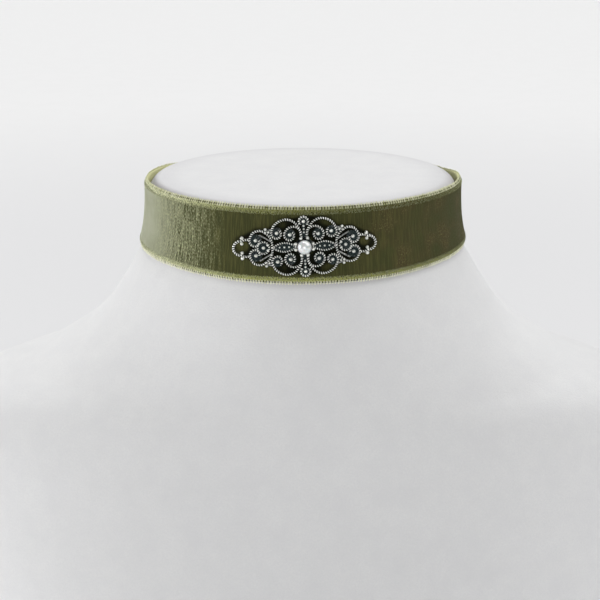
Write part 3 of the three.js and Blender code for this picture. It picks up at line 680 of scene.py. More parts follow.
# %% [markdown]
# The colours are mixed in turn: the deep pile with its painted glints, the sides of its fibres with their painted
# sheen, the ground that shows beside the pile, the leaning pile at the edges with its painted light, the painted
# shadow in the plaque's openings, and the lining. Each row mixes two colours, and either may be an earlier mix.
# %% Colours of the velvet
MIXES = [
    # name, share of the second colour, first colour, second colour
    ("deep", "browned", "#434528", "#4b442b"),
    # painted glints as pale specks right of the plaque
    ("deep", "glint_specks", "deep", "#9c9b63"),
    ("deep", "tips", "deep", "#6f6c3f"),
    # painted sheen on the fibres' sides, palest far left
    ("sides", "painted_sheen", "#919378", "#b3b5a1"),
    ("bright_sides", "painted_sheen", "#989b7c", "#b7b9a6"),
    ("sides", "streaks", "sides", "bright_sides"),
    ("sides", "mottled", "sides", "#8a8d72"),
    # painted sheen highlight at the rim, far left
    ("sides", "rim", "sides", "#d3d6b6"),
    ("field", "nap_and_sheen", "deep", "sides"),
    # painted glints of single tufts
    ("field", "glints", "field", "#c6ca98"),
    # crushed pile with a painted shadow, nearly black, in the plaque's openings
    ("field", "crushed_and_shade", "field", "#14160b"),
    ("ground", "streaks", "#3c3b26", "#5f6038"),
    # painted sheen on the ground, far left
    ("ground", "painted_sheen", "ground", "#c3c69c"),
    ("cloth", "pile", "ground", "field"),
    # painted light on the leaning pile, paler at the left
    ("leaning", "leaning_lit", "#bcc070", "#fdffd8"),
    ("cloth", "fuzz_and_light", "cloth", "leaning"),
    ("lining", "streaks", "#c6c68e", "#e2e2b6"),
    ("cloth", "inside", "cloth", "lining"),
]
colours = {}
for name, share, first, second in MIXES:
    pair = {"Factor": at[share], 6: colours.get(first, first), 7: colours.get(second, second)}
    colours[name] = add(tree, "Mix", pair, data_type="RGBA")[2]
print("colours:", ", ".join(colours))

# %% [markdown]
# A dark base stands for the depth between the fibres, and a sheen layer over it for their sides, which brighten
# where the cloth turns away from the eye. There is hardly any gloss.
# %% Cut velvet
bump = add(tree, "Bump", {"Height": at["relief"], "Strength": 0.7, "Distance": 0.00025})[0]
surface = add(tree, "BsdfPrincipled", {
    "Base Color": colours["cloth"],
    "Roughness": 0.9,
    "Specular IOR Level": 0.1,
    "Sheen Weight": 0.1,
    "Sheen Roughness": 0.35,
    "Sheen Tint": "#d9dcb4",
    "Normal": bump,
})[0]
add(tree, "OutputMaterial", {"Surface": surface})
velvet_cloth = make_piece("velvet_cloth", velvet_shell, velvet)
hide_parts("velvet_ribbon")

# %% [markdown]
# ## Selvedge threads
# At each edge the weft thread comes out of the cloth, turns in a tiny loop and goes back in, some three hundred
# and seventy times. One loop is a thin tube of four sides along a hairpin; its copies are the same array at other
# angles.
# %% Selvedge threads
LOOP_PITCH_MM = 0.85
THREAD_RADIUS = 0.12
LOOP_REACH = 0.5
LEG_SPREAD = 0.15
# How unevenly the loops reach out, lie along the edge and stand off, in millimetres
UNEVEN = (0.06, 0.05, 0.02)

leg = np.linspace(0.75, 0.1, 3)
bow = np.linspace(0, np.pi, 5)[1:-1]
path = np.stack([
    np.concatenate([0 * leg - LEG_SPREAD, -LEG_SPREAD * np.cos(bow), 0 * leg + LEG_SPREAD]),
    np.concatenate([leg, leg[-1] - LOOP_REACH * np.sin(bow), leg[::-1]]),
], -1)
heading = np.gradient(path, axis=0)
heading /= np.linalg.norm(heading, axis=1)[:, None]
across = np.stack([-heading[:, 1], heading[:, 0]], -1)
side = np.linspace(0, 2 * np.pi, 4, endpoint=False) + np.pi / 4
tube = path[:, None] + THREAD_RADIUS * across[:, None] * np.cos(side)[:, None]
tube_along, tube_down = np.moveaxis(tube, -1, 0)
tube_out = THREAD_RADIUS * np.broadcast_to(np.sin(side), tube_down.shape)
loops = int(2 * RIBBON_END * PER_RADIAN / LOOP_PITCH_MM)
spots = np.linspace(-RIBBON_END, RIBBON_END, loops + 1)[:-1, None, None] + RIBBON_END / loops
dice = np.random.default_rng(7)
jitter = dice.normal(0, 1, (3, loops, 1, 1))
# The legs lie on the cloth's face, and the bow comes down to the middle of its edge
lean = SELVEDGE_THICKNESS + 0.02 - SELVEDGE_THICKNESS / 2 * ease((0.5 - tube_down) / 0.7)
reach_down = tube_down + UNEVEN[0] * jitter[0] * (tube_down < leg[-1])
spin = spots + (tube_along + UNEVEN[1] * jitter[1]) / (NECK_RADIUS + 1)
lifted = standoff(spin) + lean + tube_out + UNEVEN[2] * jitter[2]
# The loops along the foot get a higher shade value, 0.9 against 0.4: painted light, as the front panel lights them
# more; each loop also varies at random in tone.
thread_shell = joined([
    outward(grid_shell(round_neck(spin, place, lifted), around=True, caps=True, shade=pale + 0.2 * jitter[2]))
    for place, pale in ((reach_down, 0.4), (RIBBON_WIDTH - reach_down, 0.9))
])
print(loops, "loops at each edge")

thread, tree = new_material("rayon weft thread")
# shade mixes painted light on the foot's loops with each loop's own tone
shade_at = add(tree, "Attribute", attribute_name="shade")["Fac"]
colour = add(tree, "Mix", {"Factor": shade_at, 6: "#c2c48c", 7: "#f6f6da"}, data_type="RGBA")[2]
surface = add(tree, "BsdfPrincipled", {
    "Base Color": colour, "Roughness": 0.45, "Sheen Weight": 0.3, "Sheen Roughness": 0.3,
})[0]
add(tree, "OutputMaterial", {"Surface": surface})
selvedge_threads = make_piece("selvedge_threads", thread_shell, thread)
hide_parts("velvet_ribbon")

# %% [markdown]
# ## Pile fringe
# The outer rows of pile have nothing beside them, so they lean out over the selvedges as a fuzzy fringe. Each
# fibre is a thin three-sided spike. All the spikes are one array: a foot, a tip and three corners round the foot.
# %% Pile fringe
FIBRES_A_ROW = 9000
FIBRE_RADIUS = 0.06
# Least and most, in millimetres: a fibre's foot from the ribbon's edge, its lean outwards and its rise
FOOT_FROM_EDGE = (1.1, 2.4)
FIBRE_LEAN = (0.3, 0.8)
FIBRE_RISE = (0.0, 0.25)
FIBRE_SKEW = 0.12
ROOT_DEPTH = 0.1

dice = np.random.default_rng(11)
count = 2 * FIBRES_A_ROW
upper = np.arange(count) % 2 == 0
foot_angle = dice.uniform(-RIBBON_END, RIBBON_END, count)
foot_in = dice.uniform(*FOOT_FROM_EDGE, count)
up_slope = ease((foot_in - SHOULDER[0]) / (SHOULDER[1] - SHOULDER[0]))
foot_out = SELVEDGE_THICKNESS + (PILE_THICKNESS - SELVEDGE_THICKNESS) * up_slope
tip_in = foot_in - dice.uniform(*FIBRE_LEAN, count)
foot_down = np.where(upper, foot_in, RIBBON_WIDTH - foot_in)
tip_down = np.where(upper, tip_in, RIBBON_WIDTH - tip_in)
tip_out = foot_out + dice.uniform(*FIBRE_RISE, count)
tip_angle = foot_angle + dice.normal(0, FIBRE_SKEW, count) / NECK_RADIUS
corner = np.linspace(0, 2 * np.pi, 3, endpoint=False)
base_angle = foot_angle[:, None] + FIBRE_RADIUS * np.cos(corner) / NECK_RADIUS
base_out = foot_out[:, None] - ROOT_DEPTH + FIBRE_RADIUS * np.sin(corner)
base = round_neck(base_angle, foot_down[:, None], standoff(base_angle) + base_out)
tip = round_neck(tip_angle, tip_down, standoff(tip_angle) + tip_out)
# A few fibres are pale, at random, and fewer to the right: painted light, since less light falls on them there
shade = dice.uniform(0, 1, count) ** 2 * (1 - 0.6 * ease((foot_angle + 0.7) / 1.4))
tetra = np.array([(0, 2, 1), (0, 1, 3), (1, 2, 3), (2, 0, 3)])
fringe_shell = outward({
    "points": np.concatenate([base, tip[:, None]], axis=1).reshape(-1, 3),
    "faces": [(tetra + 4 * np.arange(count)[:, None, None]).reshape(-1, 3)],
    "values": {"shade": np.repeat(shade, 4)},
})

tuft, tree = new_material("rayon pile fibre")
# shade mixes each fibre's own tone with painted light, paler at the left
shade_at = add(tree, "Attribute", attribute_name="shade")["Fac"]
colour = add(tree, "Mix", {"Factor": shade_at, 6: "#6d7036", 7: "#dfe3ad"}, data_type="RGBA")[2]
surface = add(tree, "BsdfPrincipled", {"Base Color": colour, "Roughness": 0.5, "Sheen Weight": 0.4})[0]
add(tree, "OutputMaterial", {"Surface": surface})
pile_fringe = make_piece("pile_fringe", fringe_shell, tuft)
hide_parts("velvet_ribbon")

# %% [markdown]
# ## Filigree
# The plaque is soldered from milled wire, small balls and thin plates on a flat table and then bent to the neck.
# So it is made flat here too, in shares of its half length and half height, and one function bends all of it.
# %% Plaque's sizes and bend
HALF_HEIGHT = 9.25
PLAQUE_DROP = 11.1
PLAQUE_SHIFT = 0.35
PLAQUE_TILT = np.radians(2.4) + SIDE_RISE / NECK_RADIUS
BEND_RADIUS = 140
WIRE_RADIUS = 0.37
LOOP_WIRE_RADIUS = 0.42
LEAF_WIRE_RADIUS = 0.32
ROUNDEL_WIRE_RADIUS = 0.33
BRACE_WIRE_RADIUS = 0.27
WIRE_SEAT = 0.45
PLATE_THICKNESS = 0.4
LEAN_BACK = np.arctan(STRAIGHT_SLOPE)
FRONT = NECK_RADIUS + STRAIGHT_SLOPE * PLAQUE_DROP + 2 * CLEARANCE + PILE_THICKNESS


def bend(p):
    """Flat plaque to its place: turned in its plane by the tilt, then round an upright cylinder, leaning back."""
    along = p[..., 0] * np.cos(PLAQUE_TILT) - p[..., 1] * np.sin(PLAQUE_TILT)
    up = p[..., 0] * np.sin(PLAQUE_TILT) + p[..., 1] * np.cos(PLAQUE_TILT)
    radius = BEND_RADIUS + p[..., 2] * np.cos(LEAN_BACK) - up * np.sin(LEAN_BACK)
    turn = along / BEND_RADIUS
    height = BUST_HEIGHT - PLAQUE_DROP + up * np.cos(LEAN_BACK) + p[..., 2] * np.sin(LEAN_BACK)
    y = AXIS_Y - FRONT + BEND_RADIUS - radius * np.cos(turn)
    return np.stack([PLAQUE_SHIFT + radius * np.sin(turn), y, height], -1)


# %% [markdown]
# Each quarter of the plaque has three scrolls, four short braces and a scatter of balls. A scroll is a run of
# lead points followed by a curl round its eye, whose radius tightens towards the inside.
# %% Pattern of one quarter
SCROLLS = [
    # eye, ring and end radius, first and last angle of the curl, lead points
    ((0.372, 0.465), 0.176, 0.122, 28, -235, [
        (0.039, 0.3), (0.05, 0.519), (0.087, 0.681), (0.146, 0.827),
        (0.237, 0.892), (0.329, 0.843), (0.402, 0.714),
    ]),
    ((0.192, 0.4), 0.182, 0.117, 35, -222, [
        (0.036, 0.3), (0.048, 0.497), (0.082, 0.611), (0.142, 0.654), (0.205, 0.622),
    ]),
    ((0.664, 0.246), 0.198, 0.105, 28, -195, [
        (0.53, 0.486), (0.575, 0.541), (0.621, 0.551), (0.689, 0.503),
    ]),
]
MILLED_BRACES = [
    [(0.53, 0.486), (0.474, 0.36), (0.442, 0.19), (0.437, 0.0)],
    [(0.868, 0.222), (0.815, 0.27), (0.748, 0.27)],
]
PLAIN_BRACES = [
    [(0.455, 0.2), (0.53, 0.31), (0.615, 0.42)],
    [(0.437, 0.59), (0.488, 0.552), (0.535, 0.49)],
]
BALLS = [
    # along, up, radius
    (0.372, 0.465, 0.062), (0.192, 0.4, 0.065), (0.664, 0.246, 0.061), (0.525, 0.592, 0.046),
    (0.484, 0.5, 0.037), (0.85, 0.325, 0.062), (0.852, 0.146, 0.056), (0.559, 0.0, 0.057),
    (0.5, 0.087, 0.041), (0.21, 0.0, 0.03), (0.274, 0.0, 0.034), (0.338, 0.0, 0.028),
    (0.0, 0.811, 0.06), (0.0, 0.668, 0.038), (0.0, 0.562, 0.035), (0.0, 0.46, 0.032),
]
# Along or up, radius, and for an open loop half of its turn in degrees
ROUNDEL = (0.559, 0.192)
END_LOOP = (0.876, 0.227, 100)
FINIAL = (0.811, 0.145, 135)
JUNCTION = (0.49, 0.51, 0.1)
# First and last point along, half width, and how full the leaf is
LEAF = (0.112, 0.43, 0.144, 0.8)
STEM = [(-0.03, 0.27), (0.03, 0.27), (0.075, 0.811), (-0.075, 0.811)]
print(len(SCROLLS), "scrolls and", len(BALLS), "balls in a quarter")

# %% [markdown]
# The shares become millimetres on the flat plaque. A route is mirrored into the other quarters, and where it lies
# on an axis and falls on its own copy, that copy is left out.
# %% Routes on the plaque
# Share of the curl over which its radius stays that of the ring
CURL_HOLD = 0.4


def on_plaque(spots, height=WIRE_SEAT):
    """Millimetres on the flat plaque of shares of its half length and half height."""
    spots = np.atleast_2d(np.asarray(spots, float))
    return np.concatenate([spots * (PLAQUE_HALF_LENGTH, HALF_HEIGHT), np.full((len(spots), 1), height)], axis=1)


def arc(middle, radius, first, last, count=24):
    """Points round a middle, from one angle to the other in degrees; radius may be an array."""
    turn = np.radians(np.linspace(first, last, count))
    flat = np.stack([middle[0] + radius * np.cos(turn), middle[1] + radius * np.sin(turn)], -1)
    return np.concatenate([flat, np.full((count, 1), WIRE_SEAT)], axis=1)


def scroll_route(eye, ring, end, first, last, lead):
    """Lead points, then the curl: its radius stays at the ring's and eases to the end's."""
    share = np.linspace(0, 1, 9)
    tighten = 1 - (1 - end / ring) * ease((share - CURL_HOLD) / (1 - CURL_HOLD))
    curl = arc(on_plaque(eye)[0], ring * HALF_HEIGHT * tighten, first, last, 9)
    return np.concatenate([on_plaque(lead), curl])


def mirrored(route):
    """The route in all four quarters, each copy once."""
    copies = {}
    for flip in ((1, 1, 1), (-1, 1, 1), (1, -1, 1), (-1, -1, 1)):
        copy = route * flip
        copies[tuple(np.round(copy, 3).ravel() + 0.0)] = copy
    return list(copies.values())


# %% [markdown]
# Milled wire is two fine wires twisted and rolled, so it shows slanting ridges. On the real wire they are some
# 0.6 mm apart, too fine to show here, so they are drawn at 0.7 mm. A ridge runs round the wire like a screw:
# at the angle a round the wire and the distance s along it, the radius falls from a crest to a groove as the
# absolute cosine of (pi s / pitch - a / 2). The value polish is high on the crests that face outwards, where wear
# keeps the silver bright, and low in the grooves.
# %% Milled wire
RIDGE_PITCH = 0.7
RIDGE_DEPTH = 0.45
CREST_RADIUS = 1.06
RIDGE_POINTS = 8
PLAIN_STEP = 0.25
WIRE_SIDES = 10


def smooth_route(corners, step):
    """Centripetal Catmull-Rom curve through the corners, as points a step apart along its length."""
    p = np.concatenate([2 * corners[:1] - corners[1:2], corners, 2 * corners[-1:] - corners[-2:-1]])
    knots = np.cumsum(np.concatenate([[0], np.sqrt(np.linalg.norm(np.diff(p, axis=0), axis=1))]))
    slope = np.diff(p, axis=0) / np.diff(knots)[:, None]
    wide = (p[2:] - p[:-2]) / (knots[2:] - knots[:-2])[:, None]
    tangent = slope[:-1] - wide + slope[1:]
    t = np.linspace(0, 1, 40)[None, :, None]
    h = np.diff(knots)[1:-1][:, None, None]
    starts, ends = tangent[:-1, None] * h, tangent[1:, None] * h
    curve = hermite(t, corners[:-1, None], corners[1:, None], starts, ends).reshape(-1, 3)
    length = np.concatenate([[0], np.cumsum(np.linalg.norm(np.diff(curve, axis=0), axis=1))])
    count = max(3, int(round(length[-1] / step)) + 1)
    at = np.linspace(0, length[-1], count)
    return np.stack([np.interp(at, length, curve[:, i]) for i in range(3)], -1), at


def wire_shell(corners, radius=WIRE_RADIUS, milled=True, closed=False, polish=1.0):
    """Tube along a flat route: round each point a ring of sides, across the route and up from the table."""
    step = RIDGE_PITCH / RIDGE_POINTS if milled else PLAIN_STEP
    path, at = smooth_route(corners, step)
    if closed:
        path, at = path[:-1], at[:-1]
        heading = np.roll(path, -1, axis=0) - np.roll(path, 1, axis=0)
    else:
        heading = np.gradient(path, axis=0)
    heading /= np.linalg.norm(heading, axis=1)[:, None]
    across = np.stack([-heading[:, 1], heading[:, 0], 0 * heading[:, 0]], -1)
    side = np.linspace(0, 2 * np.pi, WIRE_SIDES, endpoint=False)
    if milled:
        crest = np.abs(np.cos(np.pi * at[:, None] / RIDGE_PITCH - side / 2))
        size = radius * (CREST_RADIUS - RIDGE_DEPTH * (1 - crest))
    else:
        crest = np.ones((len(at), len(side)))
        size = radius * crest
    ring = across[:, None] * (size * np.cos(side))[..., None]
    ring[..., 2] += size * np.sin(side)
    # Worn on the crests, and on the side that faces outwards, from a little below the wire's middle
    bright = polish * ease((crest - 0.45) / 0.5) * ease(np.sin(side) + 0.2)
    return outward(grid_shell(path[:, None] + ring, around=True, along=closed, caps=not closed, polish=bright))


# %% [markdown]
# The scrolls, leaves and braces go into all four quarters. The roundels, the loops at the ends and the finials
# lie on the axes, one on each side. The outer loops rub most, so they have the most polish.
# %% Wires of the plaque
wires = []
for scroll in SCROLLS:
    wires += [wire_shell(route, polish=0.85) for route in mirrored(scroll_route(*scroll))]
share = np.linspace(0, 1, 13)
leaf = np.stack([LEAF[0] + (LEAF[1] - LEAF[0]) * share, LEAF[2] * np.sin(np.pi * share) ** LEAF[3]], -1)
wires += [wire_shell(route, LEAF_WIRE_RADIUS, polish=0.7) for route in mirrored(on_plaque(leaf))]
for side, facing in ((1, 0), (-1, 180)):
    middle = on_plaque((side * ROUNDEL[0], 0))[0]
    roundel = arc(middle, ROUNDEL[1] * HALF_HEIGHT, 0, 360, 25)
    wires.append(wire_shell(roundel, ROUNDEL_WIRE_RADIUS, closed=True, polish=0.75))
    middle = on_plaque((side * END_LOOP[0], 0))[0]
    loop = arc(middle, END_LOOP[1] * HALF_HEIGHT, facing - END_LOOP[2], facing + END_LOOP[2])
    wires.append(wire_shell(loop, LOOP_WIRE_RADIUS))
    middle = on_plaque((0, side * FINIAL[0]))[0]
    finial = arc(middle, FINIAL[1] * HALF_HEIGHT, 90 * side - FINIAL[2], 90 * side + FINIAL[2])
    wires.append(wire_shell(finial))
wires += [wire_shell(route, polish=0.75) for brace in MILLED_BRACES for route in mirrored(on_plaque(brace))]
milled_shell = joined(wires)
braces = []
for brace in PLAIN_BRACES:
    routes = mirrored(on_plaque(brace))
    braces += [wire_shell(route, BRACE_WIRE_RADIUS, milled=False, polish=0.4) for route in routes]
print(len(wires), "milled wires and", len(braces), "plain ones")

# %% [markdown]
# The balls are lathed: a half circle turned round the axis that stands on the table. They are polished on top
# and black round the foot. Eight of them round the cup are the prongs that hold the pearl.
# %% Balls
# How high a ball and a prong sit over the wires' middle, in their own radii
BALL_SEAT = 0.25
PRONG_SEAT = 0.8
PRONG_REACH = 0.292
PRONG_RADIUS = 0.058
PRONG_TURNS = np.radians([18.5, 69])


def ball_shell(middles, radius, rows=8, columns=12, polish=1.0):
    """Balls round their middles: a half circle, in rows from the foot to the top, turned round its upright axis."""
    up = np.linspace(-np.pi / 2, np.pi / 2, rows + 2)[1:-1]
    unit = lathed(np.cos(up), np.sin(up), columns)
    points = np.asarray(middles)[:, None, None] + radius * unit
    bright = polish * ease((unit[..., 2] + 0.5) / 1.1)
    return outward(grid_shell(points, around=True, caps=True, polish=bright))


balls = []
for along, up, radius in BALLS:
    size = radius * HALF_HEIGHT
    middles = np.concatenate(mirrored(on_plaque((along, up), WIRE_SEAT + BALL_SEAT * size)))
    balls.append(ball_shell(middles, size))
size = PRONG_RADIUS * HALF_HEIGHT
prongs = np.stack([np.cos(PRONG_TURNS), np.sin(PRONG_TURNS), 0 * PRONG_TURNS], -1) * PRONG_REACH * HALF_HEIGHT
middles = np.concatenate([spot for prong in prongs for spot in mirrored(prong[None])])
balls.append(ball_shell(middles + (0, 0, WIRE_SEAT + PRONG_SEAT * size), size))
print(sum(len(ball["points"]) for ball in balls), "points on the balls")

# %% [markdown]
# The plates are thin, with a shallow dish so that they catch the light unevenly. A plate is a few rings between
# its outline and its middle, over the front and round to the back, and each ring is a row of one table.
# %% Plates
PLATE_RINGS = [
    # share of the way out, of the thickness, of the dish, of the polish
    (0.25, 1, 0.9, 0.9),
    (0.5, 1, 0.65, 1),
    (0.75, 1, 0.3, 1.2),
    (0.94, 1, 0, 1.6),
    (1, 0.85, 0, 1.8),
    (1, 0, 0, 0.2),
    (0.5, 0, 0, 0.2),
]


def plate_shell(edge, dish=0.1, polish=0.1):
    """Plate inside a closed outline: each ring is a share of the way from the middle to the outline, at the
    thickness less its share of the dish."""
    share, thick, sunk, bright = np.array(PLATE_RINGS).T[..., None]
    middle = edge.mean(axis=0)
    rings = middle + share[..., None] * (edge - middle)
    rings[..., 2] = PLATE_THICKNESS * thick - dish * sunk
    return outward(grid_shell(rings, around=True, caps=True, polish=polish * bright))


def disc_edge(spot, radius):
    """Outline of a round plate, on the table."""
    return arc(on_plaque(spot)[0], radius * HALF_HEIGHT, 0, 345, 24) * (1, 1, 0)


plates = []
for spot, radius in [scroll[:2] for scroll in SCROLLS] + [(JUNCTION[:2], JUNCTION[2])]:
    plates += [plate_shell(edge) for edge in mirrored(disc_edge(spot, radius))]
steps = np.linspace(0, 1, 4, endpoint=False)[:, None]
for side in (1, -1):
    plates.append(plate_shell(disc_edge((side * ROUNDEL[0], 0), ROUNDEL[1])))
    plates.append(plate_shell(disc_edge((0, side * FINIAL[0]), FINIAL[1])))
    corners = np.array(STEM) * (1, side) * HALF_HEIGHT
    stem = (corners[:, None] + (np.roll(corners, -1, axis=0) - corners)[:, None] * steps).reshape(-1, 2)
    plates.append(plate_shell(np.pad(stem, ((0, 0), (0, 1))), dish=0.05))
    both_sides = np.concatenate([leaf * (side, 1), (leaf * (side, -1))[-2:0:-1]])
    plates.append(plate_shell(on_plaque(both_sides, 0), dish=0.15))
print(len(plates), "plates")

# %% [markdown]
# The pearl sits in a cup: a plate with a round hole and a dished rim that follows the pearl at a hair's distance.
# %% Pearl's cup
PEARL_RADIUS = 2.1
PEARL_STANDOFF = 2.7
CUP_HOLE_RADIUS = 1.2
CUP_RADIUS = 1.8


def rim_height(r):
    """Height of a sphere a clearance larger than the pearl."""
    return PEARL_STANDOFF - np.sqrt((PEARL_RADIUS + CLEARANCE) ** 2 - r * r)


dished = np.linspace(CUP_RADIUS, CUP_HOLE_RADIUS, 5)
rim = PRONG_REACH * HALF_HEIGHT
section_r = np.concatenate([[rim, rim, CUP_RADIUS + 0.05, CUP_RADIUS], dished, [CUP_HOLE_RADIUS]])
section_z = np.concatenate([[0, PLATE_THICKNESS, PLATE_THICKNESS, 0.9], rim_height(dished), [0]])
cup_shell = outward(grid_shell(lathed(section_r, section_z, 40), around=True, along=True, polish=0.2))
print("cup:", len(section_r), "points in its section")

# %% [markdown]
# Antique silver is dipped in a bath that blackens it and is then rubbed, so it is bright where a cloth reaches
# and slate blue to black elsewhere. The polish value mixes the two, and a fine noise breaks the border up.
# %% Oxidised silver
BATH_PATCH_MM = 2 / 7

silver, tree = new_material("oxidised silver")
polish_at = add(tree, "Attribute", attribute_name="polish")["Fac"]
place = add(tree, "TexCoord")["Object"]
bath = add(tree, "TexNoise", {"Vector": place, "Scale": 1 / (BATH_PATCH_MM * MM), "Detail": 2})["Fac"]
ends = {"Value": bath, "From Min": 0.3, "From Max": 0.7, "To Min": -0.2, "To Max": 0.2}
patch = add(tree, "MapRange", ends)[0]
rubbed = add(tree, "Math", {0: polish_at, 1: patch}, operation="ADD")[0]
ends = {"Value": rubbed, "From Min": 0.15, "From Max": 0.8}
rubbed = add(tree, "MapRange", ends, interpolation_type="SMOOTHSTEP")[0]
colour = add(tree, "Mix", {"Factor": rubbed, 6: "#222b2b", 7: "#f5f6f0"}, data_type="RGBA")[2]
rough = add(tree, "MapRange", {"Value": rubbed, "To Min": 0.5, "To Max": 0.28})[0]
bump = add(tree, "Bump", {"Height": bath, "Strength": 0.3, "Distance": 0.00005})[0]
surface = add(tree, "BsdfPrincipled", {
    "Base Color": colour, "Metallic": 1, "Roughness": rough, "Normal": bump,
})[0]
add(tree, "OutputMaterial", {"Surface": surface})

for name, shell in (
    ("milled_wires", milled_shell),
    ("filigree_plates", joined(plates + [cup_shell])),
    ("filigree_balls", joined(balls)),
    ("filigree_braces", joined(braces)),
):
    shell["points"] = bend(shell["points"])
    piece = make_piece(name, outward(shell), silver)
    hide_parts("filigree")

# %% [markdown]
# The plaque presses on the velvet, so the pile in its openings is crushed, and it has a painted shadow, nearly
# black. How deep a point of the velvet lies among the wires is the sum, over the points of the wires, of a bell
# curve of their distance seen from the front. It is high where wires surround the point and low just outside the
# plaque.
# %% Crushed pile and painted shadow under the plaque
CRUSH_SHADE_REACH = 1.2
# Sums of the bell curves where the crushed pile and its painted shadow start and where they are full
CRUSH_SHADE_STARTS = 2.0
CRUSH_SHADE_FULL = 3.8
NEAR_PLAQUE = 27

cloth = band.reshape(-1, 3)
near = np.flatnonzero((np.abs(cloth[:, 0]) < NEAR_PLAQUE) & (cloth[:, 1] < 0))
spots = milled_shell["points"][::WIRE_SIDES]
gap = (cloth[near, None, 0] - spots[:, 0]) ** 2 + (cloth[near, None, 2] - spots[:, 2]) ** 2
crowd = np.exp(-gap / (2 * CRUSH_SHADE_REACH**2)).sum(axis=1) * RIDGE_PITCH / RIDGE_POINTS
crushed_and_shade = np.zeros(len(velvet_cloth.data.vertices))
crushed_and_shade[near] = ease((crowd - CRUSH_SHADE_STARTS) / (CRUSH_SHADE_FULL - CRUSH_SHADE_STARTS))
give_values(velvet_cloth.data, "crushed_and_shade", crushed_and_shade)
print("crushed pile on", int((crushed_and_shade > 0.5).sum()), "of", len(crushed_and_shade), "points")

# %% [markdown]
# ## Pearl
# A pearl's glow comes from thin layers of nacre over a white bead: a soft white body, a clear coat with sharp
# reflections, and a faint tint that changes over it.
# %% Pearl
CLOUD_MM = 2

nacre, tree = new_material("pearl nacre")
place = add(tree, "TexCoord")["Object"]
cloud = add(tree, "TexNoise", {"Vector": place, "Scale": 1 / (CLOUD_MM * MM), "Detail": 2})["Fac"]
colour = add(tree, "Mix", {"Factor": cloud, 6: "#e2e6e6", 7: "#f4f7f6"}, data_type="RGBA")[2]
surface = add(tree, "BsdfPrincipled", {
    "Base Color": colour,
    "Metallic": 0.3,
    "Roughness": 0.28,
    "Subsurface Weight": 0.1,
    "Subsurface Scale": 0.0006,
    "Coat Weight": 0.6,
    "Coat Roughness": 0.1,
})[0]
add(tree, "OutputMaterial", {"Surface": surface})
middle = bend(np.array([0, 0, PEARL_STANDOFF]))
pearl_shell = ball_shell(np.zeros((1, 3)), PEARL_RADIUS, rows=40, columns=64)
pearl_shell["points"] = pearl_shell["points"] + middle
pearl_bead = make_piece("pearl_bead", pearl_shell, nacre)
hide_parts("pearl")

# %% [markdown]
# ## Clasp
# At the back a stamped clasp closes the choker: a jaw pressed over each ribbon end, with two rows of dimples
# where the press bit, and a flat bridge with a round boss, where it snaps shut. Jaws and bridge are bars with
# rounded edges: a section is carried round the neck, and near each end it shrinks along a quarter circle.
# %% Rounded bar
JAW_CORNER = 0.7
DIMPLE_ROWS = np.linspace(-9.6, 9.6, 9)
DIMPLE_RADIUS = 0.5
DIMPLE_DEPTH = 0.35


def bar(first, last, half_down, thickness, dimples=()):
    """Rounded bar from one angle to the other. A dimple is a bell curve of the distance from its middle. The bar
    is worn bright on its rounded edges and stays dark in the dimples."""
    length = (last - first) * PER_RADIAN
    quarter = np.linspace(0, np.pi / 2, 6)
    inset, run = JAW_CORNER * (1 - np.sin(quarter)), JAW_CORNER * (1 - np.cos(quarter))
    middle_run = np.linspace(JAW_CORNER, length - JAW_CORNER, 26)[1:-1]
    s = np.concatenate([run, middle_run, length - run[::-1]])[:, None]
    shrink = np.concatenate([inset, 0 * middle_run, inset[::-1]])[:, None]
    reach_down, reach_out = half_down - JAW_CORNER, thickness / 2 - JAW_CORNER
    face = np.linspace(-reach_down, reach_down, 60)[1:-1]
    section = [
        # turn of the rounding, its middle down and its middle out, from corner to corner
        (quarter, reach_down, reach_out),
        (np.pi / 2, -face, reach_out),
        (quarter + np.pi / 2, -reach_down, reach_out),
        (quarter + np.pi, -reach_down, -reach_out),
        (1.5 * np.pi, face, -reach_out),
        (quarter + 1.5 * np.pi, reach_down, -reach_out),
    ]
    turn, down, out = np.concatenate([np.broadcast_arrays(*part) for part in section], axis=1)
    outer = out > 0
    down = down + (JAW_CORNER - shrink) * np.cos(turn)
    out = out + (JAW_CORNER - shrink) * np.sin(turn)
    bite = np.zeros_like(down)
    for column in dimples:
        gap = (s - column)[..., None] ** 2 + (down[..., None] - DIMPLE_ROWS) ** 2
        bite += np.exp(-gap / (2 * DIMPLE_RADIUS**2)).sum(axis=-1) * outer
    out = out - DIMPLE_DEPTH * bite + thickness / 2 + CLEARANCE
    points = round_neck(first + s / PER_RADIAN, down + RIBBON_WIDTH / 2, out)
    rounding = np.abs(np.sin(2 * turn)) > 0.1
    worn = np.clip(0.45 + 0.5 * shrink / JAW_CORNER + 0.5 * rounding - 0.9 * bite, 0, 1)
    return outward(grid_shell(points, around=True, caps=True, worn=worn))


# %% [markdown]
# The boss is lathed about an axis that points straight back, so its section says how far each ring is from that
# axis and from the neck.
# %% Clasp's parts
JAW_LENGTH = 7
BRIDGE_HEIGHT = 8
DIMPLE_COLUMNS = (2.2, 4.8)
BOSS = [
    # how far from the boss's middle, how far out from the neck, how worn
    (4.6, 0.5, 0.2),
    (4.6, 2.9, 0.4),
    (4.3, 3.3, 1.0),
    (3.7, 3.4, 0.9),
    (3.4, 3.1, 0.1),
    (2.5, 3.5, 0.6),
    (1.3, 3.8, 0.8),
    (0.3, 3.9, 0.8),
]

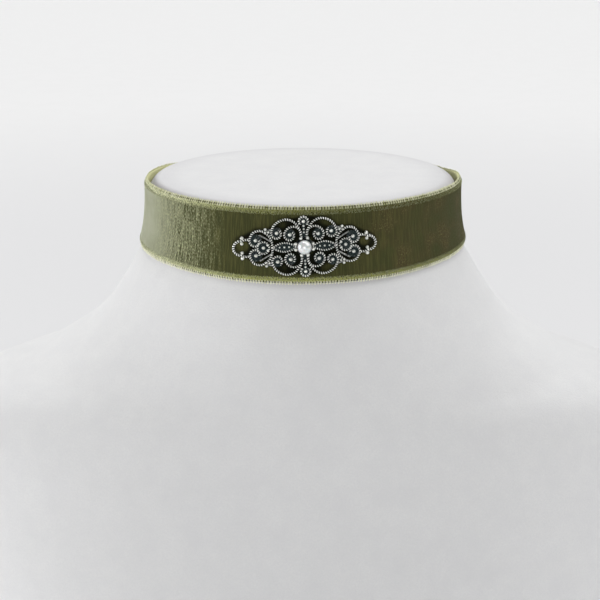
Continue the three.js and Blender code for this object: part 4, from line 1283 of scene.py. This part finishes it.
jaw = JAW_LENGTH / PER_RADIAN
start = RIBBON_END - JAW_OVERLAP / PER_RADIAN
margin = CLEARANCE + JAW_WALL
thickness = 2 * margin + PILE_THICKNESS
half_jaw = RIBBON_WIDTH / 2 + margin
far = 2 * np.pi - start
reach, boss_out, boss_worn = np.array(BOSS).T[..., None]
turn = np.linspace(0, 2 * np.pi, 48, endpoint=False)
boss = round_neck(np.pi + reach * np.cos(turn) / PER_RADIAN, RIBBON_WIDTH / 2 + reach * np.sin(turn), boss_out)
clasp_shell = joined([
    outward(grid_shell(boss, around=True, caps=True, worn=boss_worn)),
    bar(start, start + jaw, half_jaw, thickness, DIMPLE_COLUMNS),
    bar(far - jaw, far, half_jaw, thickness, DIMPLE_COLUMNS),
    bar(start + jaw / 2, far - jaw / 2, BRIDGE_HEIGHT / 2, thickness - JAW_WALL),
])
print("clasp:", round((far - start) * PER_RADIAN), "mm from end to end")

# %% [markdown]
# The clasp is plated brass with an antique wash: dark where the wash stays, in the dimples and brush strokes, and
# bright on the edges that rub.
# %% Antique nickel plate
# A brush mark's size in millimetres, across twice and up
BRUSH_MARK_MM = np.array([0.2, 0.2, 4.0])

plating, tree = new_material("antique nickel plate")
place = add(tree, "TexCoord")["Object"]
worn_at = add(tree, "Attribute", attribute_name="worn")["Fac"]
brushed = add(tree, "VectorMath", {0: place, 1: 1 / (BRUSH_MARK_MM * MM)}, operation="MULTIPLY")[0]
strokes = add(tree, "TexNoise", {"Vector": brushed, "Scale": 1, "Detail": 2})["Fac"]
ends = {"Value": strokes, "From Min": 0.3, "From Max": 0.7, "To Min": -0.15, "To Max": 0.15}
wash = add(tree, "MapRange", ends)[0]
wash = add(tree, "Math", {0: worn_at, 1: wash}, operation="ADD", use_clamp=True)[0]
colour = add(tree, "Mix", {"Factor": wash, 6: "#3d4042", 7: "#cfcfc8"}, data_type="RGBA")[2]
rough = add(tree, "MapRange", {"Value": strokes, "To Min": 0.25, "To Max": 0.45})[0]
bump = add(tree, "Bump", {"Height": strokes, "Strength": 0.3, "Distance": 0.00005})[0]
surface = add(tree, "BsdfPrincipled", {
    "Base Color": colour, "Metallic": 1, "Roughness": rough, "Normal": bump,
})[0]
add(tree, "OutputMaterial", {"Surface": surface})
clasp = make_piece("stamped_clasp", clasp_shell, plating)
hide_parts("clasp")
